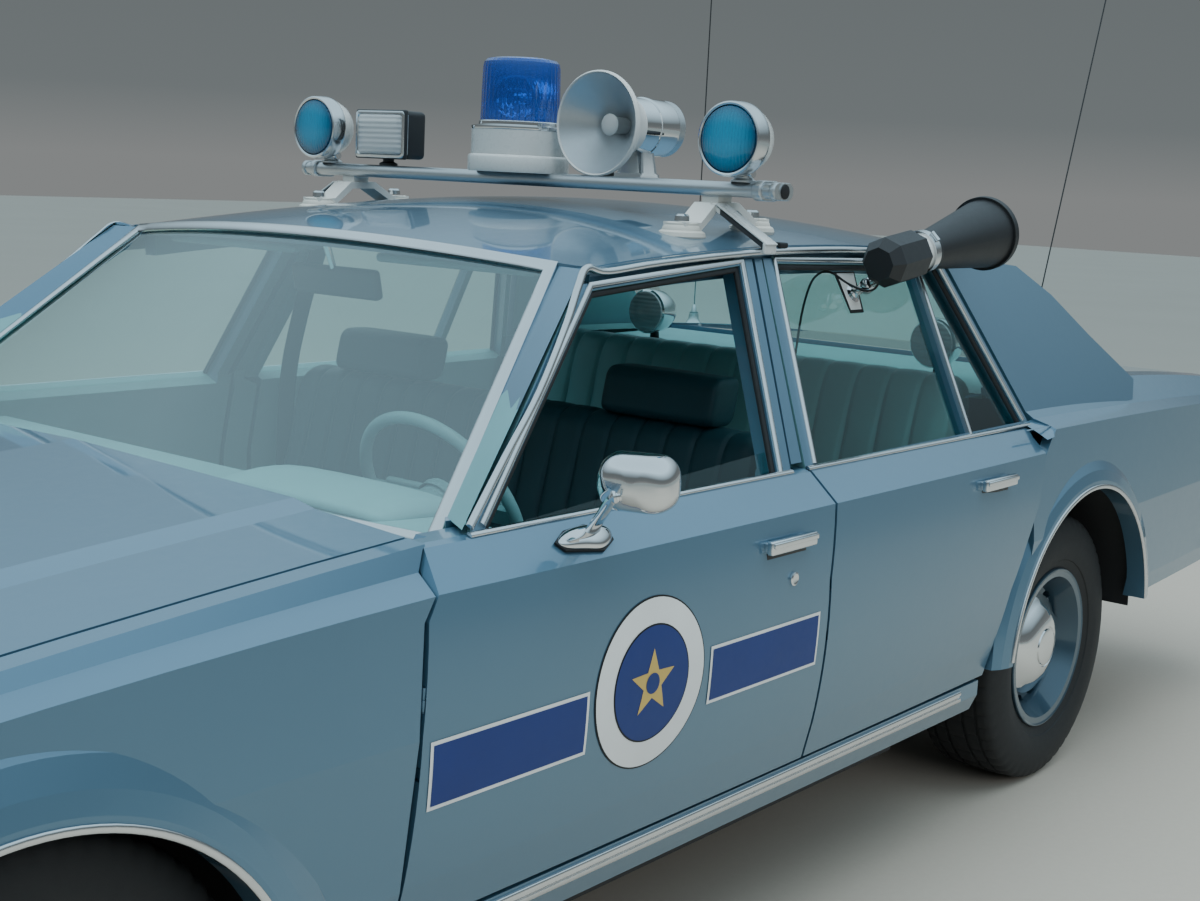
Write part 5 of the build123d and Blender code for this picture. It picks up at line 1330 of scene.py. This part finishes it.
for name, row in seatPads.items():
    for n, (y0, y1) in enumerate(row["spans"]):
        makePad(f"{name}{n}" if len(row["spans"]) > 1 else name, row, y0, y1)
for sign, hand in sides:
    makeHeadrest("headrest" + hand, sign * headrest["y"])
bases = [((0.115, sign * 0.435, 0.3345), (0.57, 0.49, 0.025), 0.004) for sign, hand in sides]
bricks("seatBase", "blackMetal", bases)
print("seats made")

# ---- dashboard, steering wheel, mirror inside, visors, belts and lamps on the shelf
column = {"centre": Vector((0.45, 0.37, 0.862)), "way": Vector((-0.883, 0, 0.469)).normalized()}
dashHood = {
    "x": 0.74, "z": 0.9,
    "rows": ((0.15, 0.25), (0.165, 0.8), (0.19, 1), (0.37, 1.06), (0.55, 1), (0.575, 0.8), (0.59, 0.25)),
    "outline": ((0.86, 0.905), (0.82, 0.926), (0.74, 0.938), (0.66, 0.934), (0.624, 0.922), (0.612, 0.908),
        (0.622, 0.898), (0.7, 0.902)),
}
# across, height, radius in millimetres
dials = ((0.47, 0.834, 36), (0.37, 0.834, 36), (0.27, 0.834, 36), (0.06, 0.828, 16), (-0.1, 0.828, 16),
    (0.06, 0.782, 12), (-0.1, 0.782, 12))
shelfLamp = {"x": -1.262, "y": 0.476, "z": 1.094, "footX": -1.312}


def makeDash():
    x0, z0, rows = dashHood["x"], dashHood["z"], []
    for y, grow in dashHood["rows"]:
        wide = 0.8 + 0.2 * grow
        rows.append([(x0 + (x - x0) * wide, y, z0 + (z - z0) * grow) for x, z in dashHood["outline"]])
    loft("dashHood", "dash", rows, smooth=60, subdivide=1)
    bricks("dashCluster", "blackPlastic", [
        ((0.629, 0.37, 0.832), (0.02, 0.4, 0.088), 0.008, tilt(-6)),
        ((0.634, -0.02, 0.8), (0.02, 0.25, 0.12), 0.006, tilt(-6)),
    ])
    for n, (y, z, r) in enumerate(dials):
        place = (0.621 + (0.832 - z) * 0.1, y, z)
        turned(f"dashDial{n}", [(0, r), (4, r), (6, r * 0.94), (3, r * 0.88), (2, 0)], place, (-1, 0, 0),
            "bright", 40)
    bricks("gloveBox", "dash", [
        ((0.634, -0.46, 0.815), (0.014, 0.42, 0.11), 0.005, tilt(-6)),
        ((0.626, -0.46, 0.78), (0.01, 0.06, 0.018), 0.003),
    ])
    rows = []
    for y in (-0.52, -0.26, 0, 0.26):
        for k in range(9):
            place = (0.885 - k * 0.004, y + (k - 4) * 0.022, 0.9124 + k * 0.00008)
            rows.append((place, (0.02, 0.01, 0.004), 0.001))
    bricks("defrosterSlots", "blackPlastic", rows)


def makeSteering():
    centre, way, across = column["centre"], column["way"], Vector(leftward)
    turned("steeringHub", [(-10, 50), (4, 50), (12, 46), (16, 30), (17, 0)], centre, way, "paintedLitVinyl", 48,
        "steering_wheel")
    turn = Matrix((across, way.cross(across), way)).transposed()
    pad = centre + way * 0.01, (0.3, 0.05, 0.014), 0.006, turn, 4
    bricks("steeringPad", "paintedLitVinyl", [pad], "steering_wheel")
    turned("columnSleeve", [(20, 46), (30, 48), (120, 44), (240, 40)], centre, -way, "paintedLitVinyl", 40)
    section = [(0.004 * cos(2 * pi * k / 10), 0.004 * sin(2 * pi * k / 10)) for k in range(10)]
    stalk = [(0.505, 0.41, 0.84), (0.52, 0.47, 0.86), (0.516, 0.53, 0.88)]
    strip("signalStalk", stalk, None, forward, "chrome", section=section)


def makeCabinFittings():
    bricks("cabinMirror", "blackPlastic", [((0.395, 0, 1.252), (0.024, 0.25, 0.062), 0.01, tilt(12), 4)])
    bricks("cabinMirrorGlass", "chrome", [((0.3826, 0, 1.2495), (0.002, 0.236, 0.048), 0.0008, tilt(12))])
    turned("cabinMirrorStem", [(0, 6), (75, 8)], (0.397, 0, 1.262), (0.42, 0, 1), "bright", 16)
    visors = [((0.33, sign * 0.33, 1.318), (0.15, 0.42, 0.018), 0.008, tilt(8), 4) for sign, hand in sides]
    bricks("sunVisors", "paintedLitVinyl", visors)
    for sign, name in sides:
        y, z = sign * shelfLamp["y"], shelfLamp["z"]
        place = (shelfLamp["x"], y, z)
        turned("shelfLampShell" + name, [(0, 60), (-6, 66), (-20, 67), (-60, 62), (-90, 48), (-108, 24),
            (-112, 0)], place, forward, "chrome", 56)
        turned("shelfLampLens" + name, [(-4, 62), (4, 60), (12, 40), (15, 0)], place, forward, "clearGlass", 56)
        turned("shelfLampFoot" + name, [(-90, 30), (-84, 30), (-80, 14), (-58, 12)], (shelfLamp["footX"], y, z),
            upward, "blackPlastic", 32)
        belt = ((-0.115, 0.632, 1.285), (-0.112, 0.7, 1.1), (-0.118, 0.752, 0.9), (-0.12, 0.762, 0.52))
        path = arcPoints([(x, sign * y, z) for x, y, z in belt])
        strip("beltStrap" + name, path, (0.046, 0.003), (0.25, -sign, 0), "vinyl")
    floor = ((0.985, 0.15), (0.985, 0.79), (-0.68, 0.79), (-0.68, 0.15))
    halves = [[Vector((x, sign * y, 0.32)) for x, y in floor] for sign, hand in sides]
    slab("floorCarpet", "carpet", Vector((0, 0, 0.006)), *halves)
    bricks("tunnelCarpet", "carpet", [((0.15, 0, 0.476), (1.62, 0.318, 0.01), 0.004)])


makeDash()
makeSteering()
makeCabinFittings()
print("cabin fitted")
